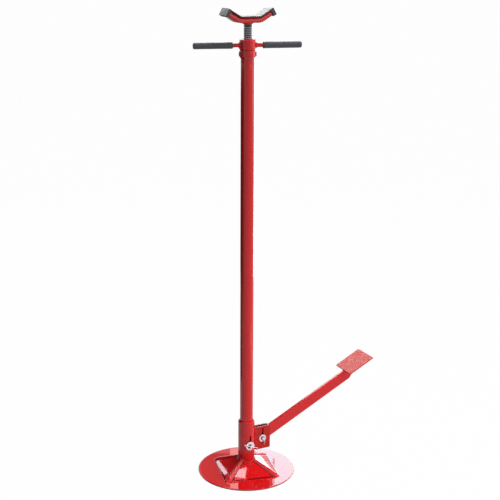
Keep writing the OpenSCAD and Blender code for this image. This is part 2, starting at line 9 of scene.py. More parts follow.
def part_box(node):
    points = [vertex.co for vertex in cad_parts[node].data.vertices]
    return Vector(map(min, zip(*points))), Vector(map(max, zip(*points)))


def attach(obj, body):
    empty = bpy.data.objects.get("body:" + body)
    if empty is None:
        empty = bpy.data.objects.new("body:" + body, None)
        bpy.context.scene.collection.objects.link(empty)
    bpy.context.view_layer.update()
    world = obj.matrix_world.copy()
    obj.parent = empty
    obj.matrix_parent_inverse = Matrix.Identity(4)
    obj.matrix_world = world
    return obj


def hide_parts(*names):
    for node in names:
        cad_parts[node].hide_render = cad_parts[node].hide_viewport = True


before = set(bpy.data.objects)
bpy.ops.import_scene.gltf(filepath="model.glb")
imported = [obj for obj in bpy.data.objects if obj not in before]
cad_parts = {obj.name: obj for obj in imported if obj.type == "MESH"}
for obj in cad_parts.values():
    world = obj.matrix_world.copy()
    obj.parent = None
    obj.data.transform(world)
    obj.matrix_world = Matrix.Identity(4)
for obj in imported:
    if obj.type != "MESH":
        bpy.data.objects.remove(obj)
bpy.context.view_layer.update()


# The studio: a white floor and backdrop, a camera at the photograph's angle, and four soft lamps, on
# the right, on the left, above and behind. Pale panels and dark cards that only reflections see
# stand between them, and give the enamel its bright and dark fields.
scene = bpy.context.scene
mm = 0.001
view_turn = math.radians(27.005)
view_pitch = math.radians(15.366)
view_roll = math.radians(0.25)
camera_at = Vector((-1448.1, -2860.9, 1593.6)) * mm
away = Vector((math.sin(view_turn), math.cos(view_turn), 0))
to_right = Vector((math.cos(view_turn), -math.sin(view_turn), 0))

camera = bpy.data.objects.new("camera", bpy.data.cameras.new("camera"))
scene.collection.objects.link(camera)
scene.camera = camera
camera.data.lens, camera.data.sensor_width = 80.53, 36
camera.data.clip_start, camera.data.clip_end = 0.1, 500
look = away * math.cos(view_pitch) - Vector((0, 0, math.sin(view_pitch)))
level_up = to_right.cross(look)
rolled_right = to_right * math.cos(view_roll) + level_up * math.sin(view_roll)
rolled_up = level_up * math.cos(view_roll) - to_right * math.sin(view_roll)
camera.matrix_world = Matrix.Translation(camera_at) @ Matrix(
    (rolled_right, rolled_up, -look)).transposed().to_4x4()

scene.view_settings.view_transform = "Standard"


def fed(tree, sockets, values):
    """Gives sockets their values, which are plain ones or other nodes' outputs."""
    for key, value in dict(values).items():
        if isinstance(value, bpy.types.NodeSocket):
            tree.links.new(value, sockets[key])
        else:
            sockets[key].default_value = value


def node(tree, kind, inputs=(), **settings):
    fresh = tree.nodes.new("ShaderNode" + kind)
    for key, value in settings.items():
        setattr(fresh, key, value)
    fed(tree, fresh.inputs, inputs)
    return fresh


def reckoned(tree, operation, *values):
    """What a Math node makes of its values."""
    return node(tree, "Math", dict(enumerate(values)), operation=operation).outputs[0]


def emptied(owner):
    """The node tree of a new world or material, with nothing in it."""
    owner.use_nodes = True
    owner.node_tree.nodes.clear()
    return owner.node_tree


def seen_straight(tree):
    """1 for what the camera sees, also in metal and through glass, and 0 for light that falls on things."""
    path = node(tree, "LightPath").outputs
    either = reckoned(tree, "MAXIMUM", path["Is Camera Ray"], path["Is Glossy Ray"])
    return reckoned(tree, "MAXIMUM", either, path["Is Transmission Ray"])


scene.world = bpy.data.worlds.new("studio")
sky = emptied(scene.world)
fill_level = 0.12
backdrop = node(sky, "MixShader", {
    0: seen_straight(sky),
    1: node(sky, "Background", {"Color": (1, 0.99, 0.98, 1), "Strength": fill_level}).outputs[0],
    2: node(sky, "Background", {"Color": (1, 1, 1, 1), "Strength": 1.0}).outputs[0],
})
fed(sky, node(sky, "OutputWorld").inputs, {0: backdrop.outputs[0]})


def flat_card(name, centre, toward, width, height, roll=0):
    """A flat sheet of the stage that faces a point."""
    facing = (Vector(toward) - Vector(centre)).normalized()
    level = Vector((0, 0, 1)) if abs(facing.z) < 0.99 else Vector((0, 1, 0))
    side = level.cross(facing).normalized()
    up = facing.cross(side)
    tip = math.radians(roll)
    side, up = side * math.cos(tip) - up * math.sin(tip), up * math.cos(tip) + side * math.sin(tip)
    mesh = bpy.data.meshes.new(name)
    corners = [(-1, -1), (1, -1), (1, 1), (-1, 1)]
    mesh.from_pydata([Vector(centre) + side * (a * width / 2) + up * (b * height / 2)
                      for a, b in corners], [], [(0, 1, 2, 3)])
    card = bpy.data.objects.new(name, mesh)
    scene.collection.objects.link(card)
    return card


floor_paint = bpy.data.materials.new("floor_white")
tree = emptied(floor_paint)
floor_glow_share, floor_size, floor_sink = 0.985, 400, 0.4 * mm
floor_mix = node(tree, "MixShader", {
    0: reckoned(tree, "MULTIPLY", seen_straight(tree), floor_glow_share),
    1: node(tree, "BsdfDiffuse", {"Color": (0.5, 0.5, 0.5, 1)}).outputs[0],
    2: node(tree, "Emission", {"Color": (1, 1, 1, 1), "Strength": 1.0}).outputs[0],
})
fed(tree, node(tree, "OutputMaterial").inputs, {0: floor_mix.outputs[0]})
floor = flat_card("floor", (0, 0, -floor_sink), (0, 0, 1), floor_size, floor_size)
floor.data.materials.append(floor_paint)


def studio_spot(right, back, height):
    """A point in the studio, measured from the foot of the stand as the camera sees it."""
    return away * back + to_right * right + Vector((0, 0, height))


def mirrored_card(name, centre, toward, width, height, glow, roll=0, colour=(1, 1, 1)):
    """A card that only reflections see: it lights nothing and casts no shadow."""
    card = flat_card(name, studio_spot(*centre), studio_spot(*toward), width, height, roll)
    paint = bpy.data.materials.new(name)
    tree = emptied(paint)
    paint.cycles.emission_sampling = "NONE"
    light = node(tree, "Emission", {"Color": (*colour, 1), "Strength": glow})
    fed(tree, node(tree, "OutputMaterial").inputs, {0: light.outputs[0]})
    card.data.materials.append(paint)
    card.visible_camera = card.visible_diffuse = card.visible_shadow = False


cool = (0.4, 0.9, 1)
# Where each card is and what it faces, its width, height and glow, and for some their roll and colour.
mirrored_cards = {
    "card_left": ((-1.6, 0.2, 0.5), (0, 0, 0.5), 2.4, 1.4, 0.2),
    "card_column": ((-0.35, 0.12, 0.65), (0, 0, 0.65), 0.3, 1.0, 0.01),
    "card_limb": ((-0.4, 0.5, 0.785), (0, 0, 0.785), 0.66, 0.67, 0.05),
    "card_behind": ((0.025, 1.6, 0.98), (0.025, 0, 0.98), 0.21, 0.46, 0.45),
    "card_behind_left": ((-0.155, 1.61, 0.98), (-0.155, 0, 0.98), 0.15, 0.5, 0.35),
    "card_beside": ((-1.02, 1.62, 0.86), (-0.08, 0, 0), 0.34, 0.4, 0.05),
    "card_above": ((0, 0.9, 3.1), (0, 0.9, 0), 3.0, 1.7, 0.02),
    "panel_right": ((0.56, 1.6, 0.72), (0.56, 0, 0.72), 0.88, 1.2, 8.2, 0, cool),
    "panel_right_low": ((0.07, 1.58, 0.43), (0.07, 0, 0.43), 0.1, 0.66, 8.2, 0, cool),
    "panel_stripe": ((-0.055, 1.58, 0.9), (-0.055, 0, 0.9), 0.05, 0.5, 2.6),
    "panel_left": ((-1.012, 1.6, 0.852), (-0.07, 0, 0), 0.02, 0.078, 7.0, -25.7, (0.92, 0.9, 1)),
    "panel_above": ((0.488, 0.482, 2.98), (0.488, 0.482, 0), 0.1, 0.065, 13.5, -27, (0.88, 0.95, 1)),
    "panel_ribs": ((-0.08, 0.95, 2.98), (-0.08, 0.95, 0), 0.8, 0.6, 8.5, -27),
    "panel_rib_flank": ((0.34, -0.055, 0.3), (-0.035, -0.065, 0.02), 0.1, 0.2, 3.5),
    "panel_side": ((2.2, 0.6, 1.15), (0, 0, 1.15), 2.4, 0.8, 2.6),
    "panel_front": ((2.6, -1.85, 1.55), (0, 0, 1.4), 1.2, 0.8, 2.6),
    "panel_cap": ((-1.68, 1.64, 2.3), (0, 0, 1.4), 1.0, 1.0, 4.0),
    "panel_wing": ((-0.47, 1.93, 2.45), (0, 0, 1.4), 1.2, 0.9, 9.0),
}
for name, placing in mirrored_cards.items():
    mirrored_card(name, *placing)


def soft_light(name, centre, toward, width, height, radiance, mirrored=True, spread=180):
    """An area lamp that faces a point, with its light kept inside the angle of its spread."""
    lamp = bpy.data.lights.new(name, "AREA")
    lamp.shape = "RECTANGLE"
    lamp.size, lamp.size_y = width, height
    lamp.energy = radiance * width * height * math.pi
    lamp.spread = math.radians(spread)
    light = bpy.data.objects.new(name, lamp)
    scene.collection.objects.link(light)
    light.location = studio_spot(*centre)
    light.rotation_mode = "QUATERNION"
    light.rotation_quaternion = (Vector(toward) - light.location).to_track_quat("-Z", "Y")
    light.visible_camera = False
    light.visible_glossy = mirrored


soft_light("key_right", (2.6, -1.85, 1.15), (0, 0, -0.1), 1.6, 2.2, 1.18, mirrored=False, spread=64)
soft_light("fill_left", (-2.4, -2.0, 1.4), (0, 0, 0.7), 1.4, 1.8, 0.4)
soft_light("top", (0.9, 0.3, 3.05), (0, 0, 0), 1.8, 1.6, 9.8, mirrored=False)
soft_light("back", (-0.65, 2.5, 2.45), (0, 0, 0.8), 1.0, 1.1, 6.5)


# The round base: 4 mm deep-drawn steel sheet with a rolled-over rim and a four-sided pressing,
# stiffened by a rounded rib on each of its edges, then dipped in glossy red enamel.
plate_r, sheet_t, crown_z = 150 * mm, 4 * mm, 39 * mm
press_corner, press_top = 121 * mm, 26 * mm
press_turn = math.radians(32)
press_slope = (crown_z - sheet_t) / (press_corner - press_top)
sleeve_hole = 25.5 * mm
rib_foot_half, rib_top_half, rib_crown = 11 * mm, 4.8 * mm, 3.8 * mm
rib_squareness, rib_sink, crease_blend = 2.8, 3 * mm, 0.5 * mm
rib_end_from, rib_end_to = 103 * mm, 120 * mm
upright_t = 1.04 * sheet_t  # the sheet's thickness, straight down through its slopes
rim_round_top, rim_round_under = 1.2 * mm, 2.7 * mm


def blended_top(a, b):
    """The higher of two surfaces, with the crease between them rounded."""
    share = np.clip(0.5 + 0.5 * (a - b) / crease_blend, 0, 1)
    return b + (a - b) * share + crease_blend * share * (1 - share)


def pressed_height(x, y):
    """Height of the sheet's top, with x and y along the pressing's own ribs."""
    along, across = np.maximum(abs(x), abs(y)), np.minimum(abs(x), abs(y))
    faces = sheet_t + (press_corner - along - across) * press_slope
    run = np.clip((along - press_top) / (press_corner - rib_foot_half - press_top), 0, 1.2)
    half = rib_top_half + (rib_foot_half - rib_top_half) * run
    fall = (rib_crown + press_slope * half) / half ** rib_squareness
    end = np.clip((along - rib_end_from) / (rib_end_to - rib_end_from), 0, None)
    rib = (sheet_t + (press_corner - along) * press_slope + rib_crown - fall * across ** rib_squareness
           - end ** 2 * (rib_crown + rib_sink))
    return blended_top(blended_top(faces, sheet_t + 0 * faces), rib)


def between(start, end, share):
    return start + (end - start) * share


def pressing_columns():
    """Columns of points from the sleeve's hole to the rim, which follow the ribs and the faces' feet."""
    def closing(count):
        """Shares from 0 to 1 that lie closer together towards the end."""
        return 1 - (1 - np.linspace(0, 1, count)) ** 1.4

    def opening(count):
        """Shares up to 1 that lie closer together towards the start."""
        return np.linspace(0, 1, count)[1:] ** 1.5

    inside, outside, down, out = closing(12), opening(17), closing(46), opening(22)
    rib_end = np.array([press_corner - rib_foot_half, rib_foot_half])
    rib_start = np.array([math.sqrt(sleeve_hole ** 2 - rib_top_half ** 2), rib_top_half])
    corner, axis_start = np.array([press_corner, 0]), np.array([sleeve_hole, 0])
    middle = np.array([press_corner / 2, press_corner / 2])
    middle_start = np.array([1, 1]) * sleeve_hole / math.sqrt(2)
    spans = [(axis_start, corner, rib_start, rib_end, a) for a in inside]
    spans += [(rib_start, rib_end, middle_start, middle, a) for a in outside]
    columns = []
    for start_a, end_a, start_b, end_b, share in spans:
        start, end = between(start_a, start_b, share), between(end_a, end_b, share)
        start = start / np.linalg.norm(start) * sleeve_hole
        rim = end / np.linalg.norm(end) * (plate_r - rim_round_top)
        columns.append([between(start, end, u) for u in down] + [between(end, rim, v) for v in out])
    eighth = np.array(columns)
    mirror = eighth[::-1][1:, :, ::-1]
    quarter = np.concatenate([eighth, mirror])[:-1]
    turned = [quarter]
    for _ in range(3):
        last = turned[-1]
        turned.append(np.stack([-last[:, :, 1], last[:, :, 0]], axis=2))
    return np.concatenate(turned)


def grid_faces(rows, columns, wrap_rows=False):
    """Faces between rows of points, where each row is a ring."""
    r, c = np.meshgrid(np.arange(rows if wrap_rows else rows - 1), np.arange(columns), indexing="ij")
    r, c = r.ravel(), c.ravel()
    r2, c2 = (r + 1) % rows, (c + 1) % columns
    corners = [r * columns + c, r * columns + c2, r2 * columns + c2, r2 * columns + c]
    return np.stack(corners, axis=1).tolist()


def turned_about_z(points, angle):
    x, y = points[..., 0], points[..., 1]
    return np.stack([x * math.cos(angle) - y * math.sin(angle),
                     x * math.sin(angle) + y * math.cos(angle), points[..., 2]], axis=-1)


def base_shape():
    plan = pressing_columns()
    top = pressed_height(plan[:, :, 0], plan[:, :, 1])
    under = np.clip(top - upright_t, 0, None)
    rows = [np.column_stack([plan[:, i], top[:, i]]) for i in range(plan.shape[1])]
    rays = plan[:, -1] / np.linalg.norm(plan[:, -1], axis=1)[:, None]
    rim = [(plate_r - (1 - math.sin(a)) * rim_round_top, sheet_t - (1 - math.cos(a)) * rim_round_top)
           for a in np.radians([22.5, 45, 67.5, 90])]
    rim += [(plate_r - (1 - math.cos(a)) * rim_round_under, (1 - math.sin(a)) * rim_round_under)
            for a in np.radians([0, 22.5, 45, 67.5, 90])]
    rows += [np.column_stack([rays * r, np.full(len(rays), z)]) for r, z in rim]
    rows += [np.column_stack([plan[:, i], under[:, i]]) for i in range(plan.shape[1] - 1, -1, -1)]
    points = turned_about_z(np.array(rows), press_turn)
    return points.reshape(-1, 3), grid_faces(len(rows), plan.shape[0], wrap_rows=True)


def drawn(name, shape):
    """A mesh of points and faces, with doubled points joined and every face turned outwards."""
    points, faces = shape
    mesh = bpy.data.meshes.new(name)
    mesh.from_pydata(np.asarray(points).tolist(), [], faces)
    work = bmesh.new()
    work.from_mesh(mesh)
    bmesh.ops.remove_doubles(work, verts=work.verts, dist=1e-7)
    bmesh.ops.dissolve_degenerate(work, edges=work.edges, dist=1e-8)
    bmesh.ops.recalc_face_normals(work, faces=work.faces)
    work.to_mesh(mesh)
    work.free()
    return mesh


def fitted(name, mesh, body, finish, replaced, sharp):
    """Puts a mesh in the scene as a piece on its body. A finish is the record's slot and a material; the slot
    is not used here.
    """
    slot, paint = finish
    mesh.shade_smooth()
    mesh.set_sharp_from_angle(angle=math.radians(sharp))
    mesh.materials.clear()
    mesh.materials.append(paint)
    piece = bpy.data.objects.new(name, mesh)
    scene.collection.objects.link(piece)
    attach(piece, body)
    if replaced:
        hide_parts(*replaced)
    return piece


def made(name, shape, body, finish, replaced=(), sharp=38):
    """Turns points and faces into a piece that rides on its body."""
    return fitted(name, drawn(name, shape), body, finish, replaced, sharp)


def effect(name, inputs, outputs):
    """An empty shader group with its sockets, ready to be filled."""
    group = bpy.data.node_groups.new(name, "ShaderNodeTree")
    sockets = group.interface
    for label, value in inputs.items():
        sockets.new_socket(label, in_out="INPUT", socket_type="NodeSocketFloat").default_value = value
    for label, kind in outputs.items():
        sockets.new_socket(label, in_out="OUTPUT", socket_type="NodeSocket" + kind)
    return group, group.nodes.new("NodeGroupInput").outputs, group.nodes.new("NodeGroupOutput").inputs


def spread(tree, value, low, high, to_low, to_high):
    """Stretches the values from low to high over the ones from to_low to to_high."""
    return node(tree, "MapRange", {"Value": value, "From Min": low, "From Max": high,
                                   "To Min": to_low, "To Max": to_high}).outputs["Result"]


def two_tones(tree, share, first, second):
    return node(tree, "Mix", {0: share, 6: first, 7: second}, data_type="RGBA").outputs[2]


def noise(tree, place, scale, detail, roughness=0.5):
    return node(tree, "TexNoise", {"Vector": place, "Scale": scale, "Detail": detail,
                                   "Roughness": roughness}).outputs["Fac"]


def bumped(tree, height, depth, under=None):
    """The normal of a skin with bumps of a depth, over another bumped skin or a smooth one."""
    beneath = {"Normal": under} if under else {}
    return node(tree, "Bump", {"Height": height, "Distance": depth, **beneath}).outputs["Normal"]


# Sprayed and baked paint: the fine orange peel of its skin, patches of haze and a slow drift of tone.
paint_skin, given, wanted = effect(
    "paint_skin", {"Peel Scale": 160, "Peel Height": 0.02 * mm, "Run Height": 0.06 * mm},
    {"Normal": "Vector", "Haze": "Float", "Tone": "Float"})
place = node(paint_skin, "TexCoord").outputs["Object"]
runs = bumped(paint_skin, noise(paint_skin, place, 28, 1), given["Run Height"])
peel = noise(paint_skin, place, given["Peel Scale"], 2)
fed(paint_skin, wanted, {
    "Normal": bumped(paint_skin, peel, given["Peel Height"], runs),
    "Haze": spread(paint_skin, noise(paint_skin, place, 40, 5, 0.6), 0.35, 0.7, 0, 1),
    "Tone": spread(paint_skin, noise(paint_skin, place, 7, 2), 0.3, 0.7, 0, 1)})


def principled(name):
    paint = bpy.data.materials.new(name)
    paint.use_nodes = True
    return paint, paint.node_tree, paint.node_tree.nodes["Principled BSDF"].inputs


def red_enamel(name, peel_scale, peel_height, run_height, smooth, dull):
    """The stand's enamel, with one piece's own orange peel, sags and gloss."""
    paint, tree, skin = principled(name)
    look = node(tree, "Group", {"Peel Scale": peel_scale, "Peel Height": peel_height,
                                "Run Height": run_height}, node_tree=paint_skin).outputs
    fed(tree, skin, {
        "Base Color": two_tones(tree, look["Tone"], (0.57, 0.005, 0.008, 1), (0.61, 0.008, 0.010, 1)),
        "Roughness": spread(tree, look["Haze"], 0, 1, smooth, dull),
        "Normal": look["Normal"],
        "Specular IOR Level": 0.4})
    return "red_enamel", paint


def opened(finish):
    """A finish's nodes, its shader's sockets and the place on the piece, to add one piece's wear and painted
    light.
    """
    tree = finish[1].node_tree
    return tree, tree.nodes["Principled BSDF"].inputs, node(tree, "TexCoord").outputs["Object"]


def tinted(tree, skin, share, colour):
    """Lays another colour over a paint, by a share that changes over its surface."""
    under = skin["Base Color"].links[0].from_socket
    fed(tree, skin, {"Base Color": two_tones(tree, share, under, colour)})


base_enamel = red_enamel("red_enamel_base", 170, 0.004 * mm, 0.012 * mm, 0.01, 0.05)
tree, skin, place = opened(base_enamel)
height = node(tree, "SeparateXYZ", {0: place}).outputs["Z"]
# Painted shade: the lowest few millimetres of the rim are darkened as a painted contact shadow along the
# floor.
rim_shade_low, rim_shade_high = 1.6 * mm, 3.4 * mm
tinted(tree, skin, spread(tree, height, rim_shade_low, rim_shade_high, 0.92, 0), (0.05, 0.008, 0.007, 1))
turned = node(tree, "VectorRotate", {"Vector": place, "Angle": -press_turn}, rotation_type="Z_AXIS")
flat = node(tree, "SeparateXYZ", {0: turned.outputs[0]}).outputs
sides = [reckoned(tree, "ABSOLUTE", flat[axis]) for axis in "XY"]
along, across = reckoned(tree, "MAXIMUM", *sides), reckoned(tree, "MINIMUM", *sides)
rib_half = spread(tree, along, press_top, press_corner - rib_foot_half, rib_top_half, rib_foot_half)
off_rib = reckoned(tree, "SUBTRACT", across, rib_half)
spanned = reckoned(tree, "ADD", along, across)


def crease(distance, centre, half_width, start, end, share_from, share_to, faded_by):
    """Painted shade in a crease at a distance, kept to the stretch where another measure lets it show."""
    beside = reckoned(tree, "ABSOLUTE", reckoned(tree, "SUBTRACT", distance, centre))
    line = spread(tree, beside, 0.45 * half_width, half_width, 1, 0)
    return reckoned(tree, "MULTIPLY", line, spread(tree, faded_by, start, end, share_from, share_to))


# Painted shade: dark lines along the feet of the pressing's faces and beside its ribs, where the creases lie
# in shade.
foot_line = crease(spanned, press_corner - 3.4 * mm, 4.4 * mm, -1 * mm, 0.5 * mm, 0, 1, off_rib)
rib_line = crease(off_rib, 1.2 * mm, 2.6 * mm, press_corner - 4 * mm, press_corner, 0.8, 0, spanned)
crease_shade_share = 0.85
painted_crease_shade = reckoned(tree, "MULTIPLY", reckoned(tree, "MAXIMUM", foot_line, rib_line), crease_shade_share)
tinted(tree, skin, painted_crease_shade, (0.12, 0.002, 0.003, 1))
made("pressed_base", base_shape(), "base", base_enamel, ["base_plate"])


# The weld round the foot of the sleeve: one pass of wire laid by hand, whose ripples still show.
# It was made before the stand was dipped, so the same red enamel lies over it.
def swept(points, outline, up, sizes=None, closed=False):
    """Carries an outline along a line of points. The outline's second axis points towards up."""
    points = np.asarray(points, float)
    count = len(points)
    run = (np.roll(points, -1, 0) - np.roll(points, 1, 0)) if closed else np.gradient(points, axis=0)
    run /= np.linalg.norm(run, axis=1)[:, None]
    up = np.broadcast_to(np.asarray(up, float), points.shape)
    side = np.cross(run, up)
    side /= np.linalg.norm(side, axis=1)[:, None]
    lift = np.cross(side, run)
    sizes = np.ones(count) if sizes is None else np.asarray(sizes)
    outline = np.asarray(outline)
    rings = (points[:, None] + sizes[:, None, None]
             * (side[:, None] * outline[None, :, :1] + lift[:, None] * outline[None, :, 1:]))
    faces = grid_faces(count, len(outline), wrap_rows=closed)
    if not closed:
        faces.append(list(range(len(outline)))[::-1])
        faces.append([(count - 1) * len(outline) + i for i in range(len(outline))])
    return rings.reshape(-1, 3), faces


def circle_outline(radius, sides):
    angles = np.arange(sides) * 2 * math.pi / sides
    return np.column_stack([np.cos(angles), np.sin(angles)]) * radius


def even_line(points, step, closed=False):
    """Resamples a line of points at an even step."""
    points = np.asarray(points, float)
    if closed:
        points = np.vstack([points, points[:1]])
    lengths = np.concatenate([[0], np.cumsum(np.linalg.norm(np.diff(points, axis=0), axis=1))])
    count = max(3, int(round(lengths[-1] / step)))
    at = np.linspace(0, lengths[-1], count + 1)
    line = np.column_stack([np.interp(at, lengths, points[:, k]) for k in range(3)])
    return line[:-1] if closed else line


def weld_bead(points, radius, up, closed=False, seed=1):
    """A bead laid by hand: rippled, a little uneven, and thinner where it starts and stops."""
    ripple, steps = 2.4 * mm, 5
    line = even_line(points, ripple / steps, closed)
    phase = np.arange(len(line)) / steps * 2 * math.pi
    wander = np.random.default_rng(seed).normal(0, 0.04, len(line))
    wander = np.convolve(wander, np.ones(9) / 9, "same")
    sizes = 1 + 0.07 * np.sin(phase) + 0.035 * np.sin(2 * phase) + wander
    if not closed:
        ends = np.minimum(np.arange(len(line)), np.arange(len(line))[::-1]) / 6
        sizes = sizes * np.clip(np.sqrt(np.clip(ends, 0.04, 1)), 0, 1)
    return swept(line, circle_outline(radius, 14), up, sizes, closed)


weld_enamel = red_enamel("red_enamel_weld", 240, 0.03 * mm, 0.08 * mm, 0.16, 0.3)
around = np.linspace(0, 2 * math.pi, 180, endpoint=False)
foot_ring_r = sleeve_hole + 0.8 * mm
foot_ring = np.column_stack([
    foot_ring_r * np.cos(around + press_turn), foot_ring_r * np.sin(around + press_turn),
    pressed_height(foot_ring_r * np.cos(around), foot_ring_r * np.sin(around))])
made("sleeve_foot_weld", weld_bead(foot_ring, 2.9 * mm, (0, 0, 1), closed=True), "base", weld_enamel,
     sharp=80)


# The sleeve: a length of thick drawn steel tube, bevelled at its mouth and welded into the base,
# with a milled slot for the lift pin on each side and one for the lever. The column slides in it.
def rounded(corners, radius, steps=4):
    """An outline with its corners rounded. The radius is one for all corners or one for each."""
    radii = radius if isinstance(radius, (list, tuple)) else [radius] * len(corners)
    outline = []
    for i, corner in enumerate(corners):
        here = np.array(corner, float)
        back, ahead = np.array(corners[i - 1]) - here, np.array(corners[(i + 1) % len(corners)]) - here
        room = 0.49 * min(np.linalg.norm(back), np.linalg.norm(ahead))
        back, ahead = back / np.linalg.norm(back), ahead / np.linalg.norm(ahead)
        half = math.acos(np.clip(back @ ahead, -1, 1)) / 2
        if radii[i] <= 0 or half > 1.5:
            outline.append(tuple(here))
            continue
        reach = min(radii[i] / math.tan(half), room)
        middle = here + (back + ahead) / np.linalg.norm(back + ahead) * reach / math.cos(half)
        start, end = here + back * reach - middle, here + ahead * reach - middle
        sweep = math.atan2(start[0] * end[1] - start[1] * end[0], start @ end)
        for k in range(steps + 1):
            a = sweep * k / steps
            turn = np.array([[math.cos(a), -math.sin(a)], [math.sin(a), math.cos(a)]])
            outline.append(tuple(middle + turn @ start))
    return outline


def with_rings(outline, longest):
    """Adds points to the long straight sides of an outline."""
    result = []
    for i, point in enumerate(outline):
        after = outline[(i + 1) % len(outline)]
        count = max(1, int(math.dist(point, after) / longest))
        result += [tuple(between(np.array(point), np.array(after), k / count)) for k in range(count)]
    return result


def lathed(outline, steps):
    """Turns a closed outline of radius and height about the Z axis."""
    outline = np.asarray(outline)
    angles = np.arange(steps) * 2 * math.pi / steps
    rows = [np.column_stack([r * np.cos(angles), r * np.sin(angles), np.full(steps, z)]) for r, z in outline]
    faces = grid_faces(len(rows), steps, wrap_rows=True)
    return np.concatenate(rows), faces


def placed(shape, matrix):
    points, faces = shape
    points = np.asarray(points)
    turn, shift = np.array(matrix.to_3x3()), np.array(matrix.translation)
    return points @ turn.T + shift, faces


def prism(outline, low, high):
    """A straight block on an outline in X and Y."""
    count = len(outline)
    points = [(x, y, z) for z in (low, high) for x, y in outline]
    faces = grid_faces(2, count) + [list(range(count))[::-1], list(range(count, 2 * count))]
    return np.array(points), faces


def slot_outline(width, run):
    """A slot with round ends, up the page from its first centre."""
    r, steps = width / 2, 12
    low = [(r * math.cos(a), r * math.sin(a)) for a in np.linspace(math.pi, 2 * math.pi, steps)]
    high = [(r * math.cos(a), run + r * math.sin(a)) for a in np.linspace(0, math.pi, steps)]
    return low + high


facing_y = Matrix(((1, 0, 0), (0, 0, -1), (0, 1, 0))).to_4x4()
facing_x = Matrix(((0, 0, 1), (1, 0, 0), (0, 1, 0))).to_4x4()


def carved(piece, cutters, operation="DIFFERENCE", sharp=38):
    """Cuts closed shapes out of a piece, or joins them to it, and keeps the result as its mesh."""
    helpers = []
    for shape in cutters:
        cutter = bpy.data.objects.new("cutter", drawn("cutter", shape))
        scene.collection.objects.link(cutter)
        helpers.append(cutter)
        cut = piece.modifiers.new("cut", "BOOLEAN")
        cut.operation, cut.solver, cut.object = operation, "EXACT", cutter
    bpy.context.view_layer.update()
    whole = piece.evaluated_get(bpy.context.evaluated_depsgraph_get())
    mesh = bpy.data.meshes.new_from_object(whole)
    piece.modifiers.clear()
    piece.data = mesh
    mesh.set_sharp_from_angle(angle=math.radians(sharp))
    for cutter in helpers:
        bpy.data.objects.remove(cutter)


def edges_broken(piece, width, segments=2, angle=32):
    """Rounds off the sharp edges, as paint and deburring do."""
    bevel = piece.modifiers.new("broken_edges", "BEVEL")
    bevel.width, bevel.segments = width, segments
    bevel.limit_method, bevel.angle_limit = "ANGLE", math.radians(angle)
    bevel.miter_outer = "MITER_ARC"
    normals = piece.modifiers.new("flat_faces", "WEIGHTED_NORMAL")
    normals.keep_sharp = True


def cornered(corners, steps=4):
    """An outline from the place of each corner and its rounding in mm."""
    return rounded([(x, z) for x, z, _ in corners], [soft * mm for _, _, soft in corners], steps)


lift_pin_z, lift_stroke, lift_slot_w = 88 * mm, 30 * mm, 9.2 * mm
fulcrum_x, fulcrum_z = 51.5 * mm, 98 * mm
sleeve_r, sleeve_bore, sleeve_low, sleeve_top = 25.45 * mm, 20.25 * mm, 30 * mm, 167 * mm
mouth_bevel, bore_bevel = 3 * mm, 1.5 * mm
lever_gap, lever_low, lever_high = 10 * mm, 63 * mm, 127 * mm
through, past_wall, slip = 40 * mm, 50 * mm, 0.05 * mm

enamel = red_enamel("red_enamel", 190, 0.012 * mm, 0.03 * mm, 0.16, 0.26)
sleeve_side = cornered([
    (sleeve_bore, sleeve_low, 0.3), (sleeve_r, sleeve_low, 0.3), (sleeve_r, sleeve_top - mouth_bevel, 1),
    (sleeve_r - mouth_bevel, sleeve_top, 0.3), (sleeve_bore + bore_bevel, sleeve_top, 0.3),
    (sleeve_bore, sleeve_top - bore_bevel, 0.3)])
sleeve = made("slotted_sleeve", lathed(with_rings(sleeve_side, 6 * mm), 120), "base", enamel,
              ["base_sleeve"])
pin_slot = placed(prism(slot_outline(lift_slot_w, lift_stroke), -through, through),
                  Matrix.Translation((0, 0, lift_pin_z)) @ facing_y)
lever_slot = placed(prism(slot_outline(lever_gap, lever_high - lever_low - lever_gap), 0, past_wall),
                    Matrix.Translation((0, 0, lever_low + lever_gap / 2)) @ facing_x)
carved(sleeve, [pin_slot, lever_slot])
edges_broken(sleeve, 0.45 * mm)


# The pedal's bracket: 4.5 mm steel sheet folded into a channel whose web lies on the sleeve, with
# a tall slot in each cheek for the fulcrum pin. Two fillet welds hold its folds to the sleeve.
def softened(name, node_name, body, finish, width, segments=2, angle=32, sharp=38):
    """A copy of a CAD node with whole faces and broken edges."""
    work = bmesh.new()
    work.from_mesh(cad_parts[node_name].data)
    bmesh.ops.remove_doubles(work, verts=work.verts, dist=2e-6)
    bmesh.ops.dissolve_limit(work, angle_limit=math.radians(0.6), verts=work.verts, edges=work.edges)
    bmesh.ops.recalc_face_normals(work, faces=work.faces)
    mesh = bpy.data.meshes.new(name)
    work.to_mesh(mesh)
    work.free()
    piece = fitted(name, mesh, body, finish, [node_name], sharp)
    edges_broken(piece, width, segments, angle)


bracket_low, bracket_high = 63 * mm, 137.5 * mm
bracket_wall_in, bracket_wall_out = 5.2 * mm, 5.6 * mm
bracket_enamel = red_enamel("red_enamel_bracket", 190, 0.012 * mm, 0.03 * mm, 0.16, 0.26)
tree, skin, place = opened(bracket_enamel)
skin["Specular IOR Level"].default_value = 0.22
worn = spread(tree, noise(tree, place, 35, 4), 0.3, 0.7, 0.3, 0.65)
tinted(tree, skin, worn, (0.25, 0.018, 0.008, 1))
# Painted shade: the faces inside the channel, between its cheeks, are darkened almost to black, standing for
# the shadow there.
inward = reckoned(tree, "ABSOLUTE", node(tree, "SeparateXYZ", {0: place}).outputs["Y"])
channel_inside_shade = spread(tree, inward, bracket_wall_in, bracket_wall_out, 0.93, 0)
tinted(tree, skin, channel_inside_shade, (0.03, 0.008, 0.007, 1))
softened("folded_bracket", "pedal_bracket", "base", bracket_enamel, 0.8 * mm)
two_sides = (("near", -1), ("far", 1))
seam_x, seam_y, seam_short = 27 * mm, 7.9 * mm, 2 * mm
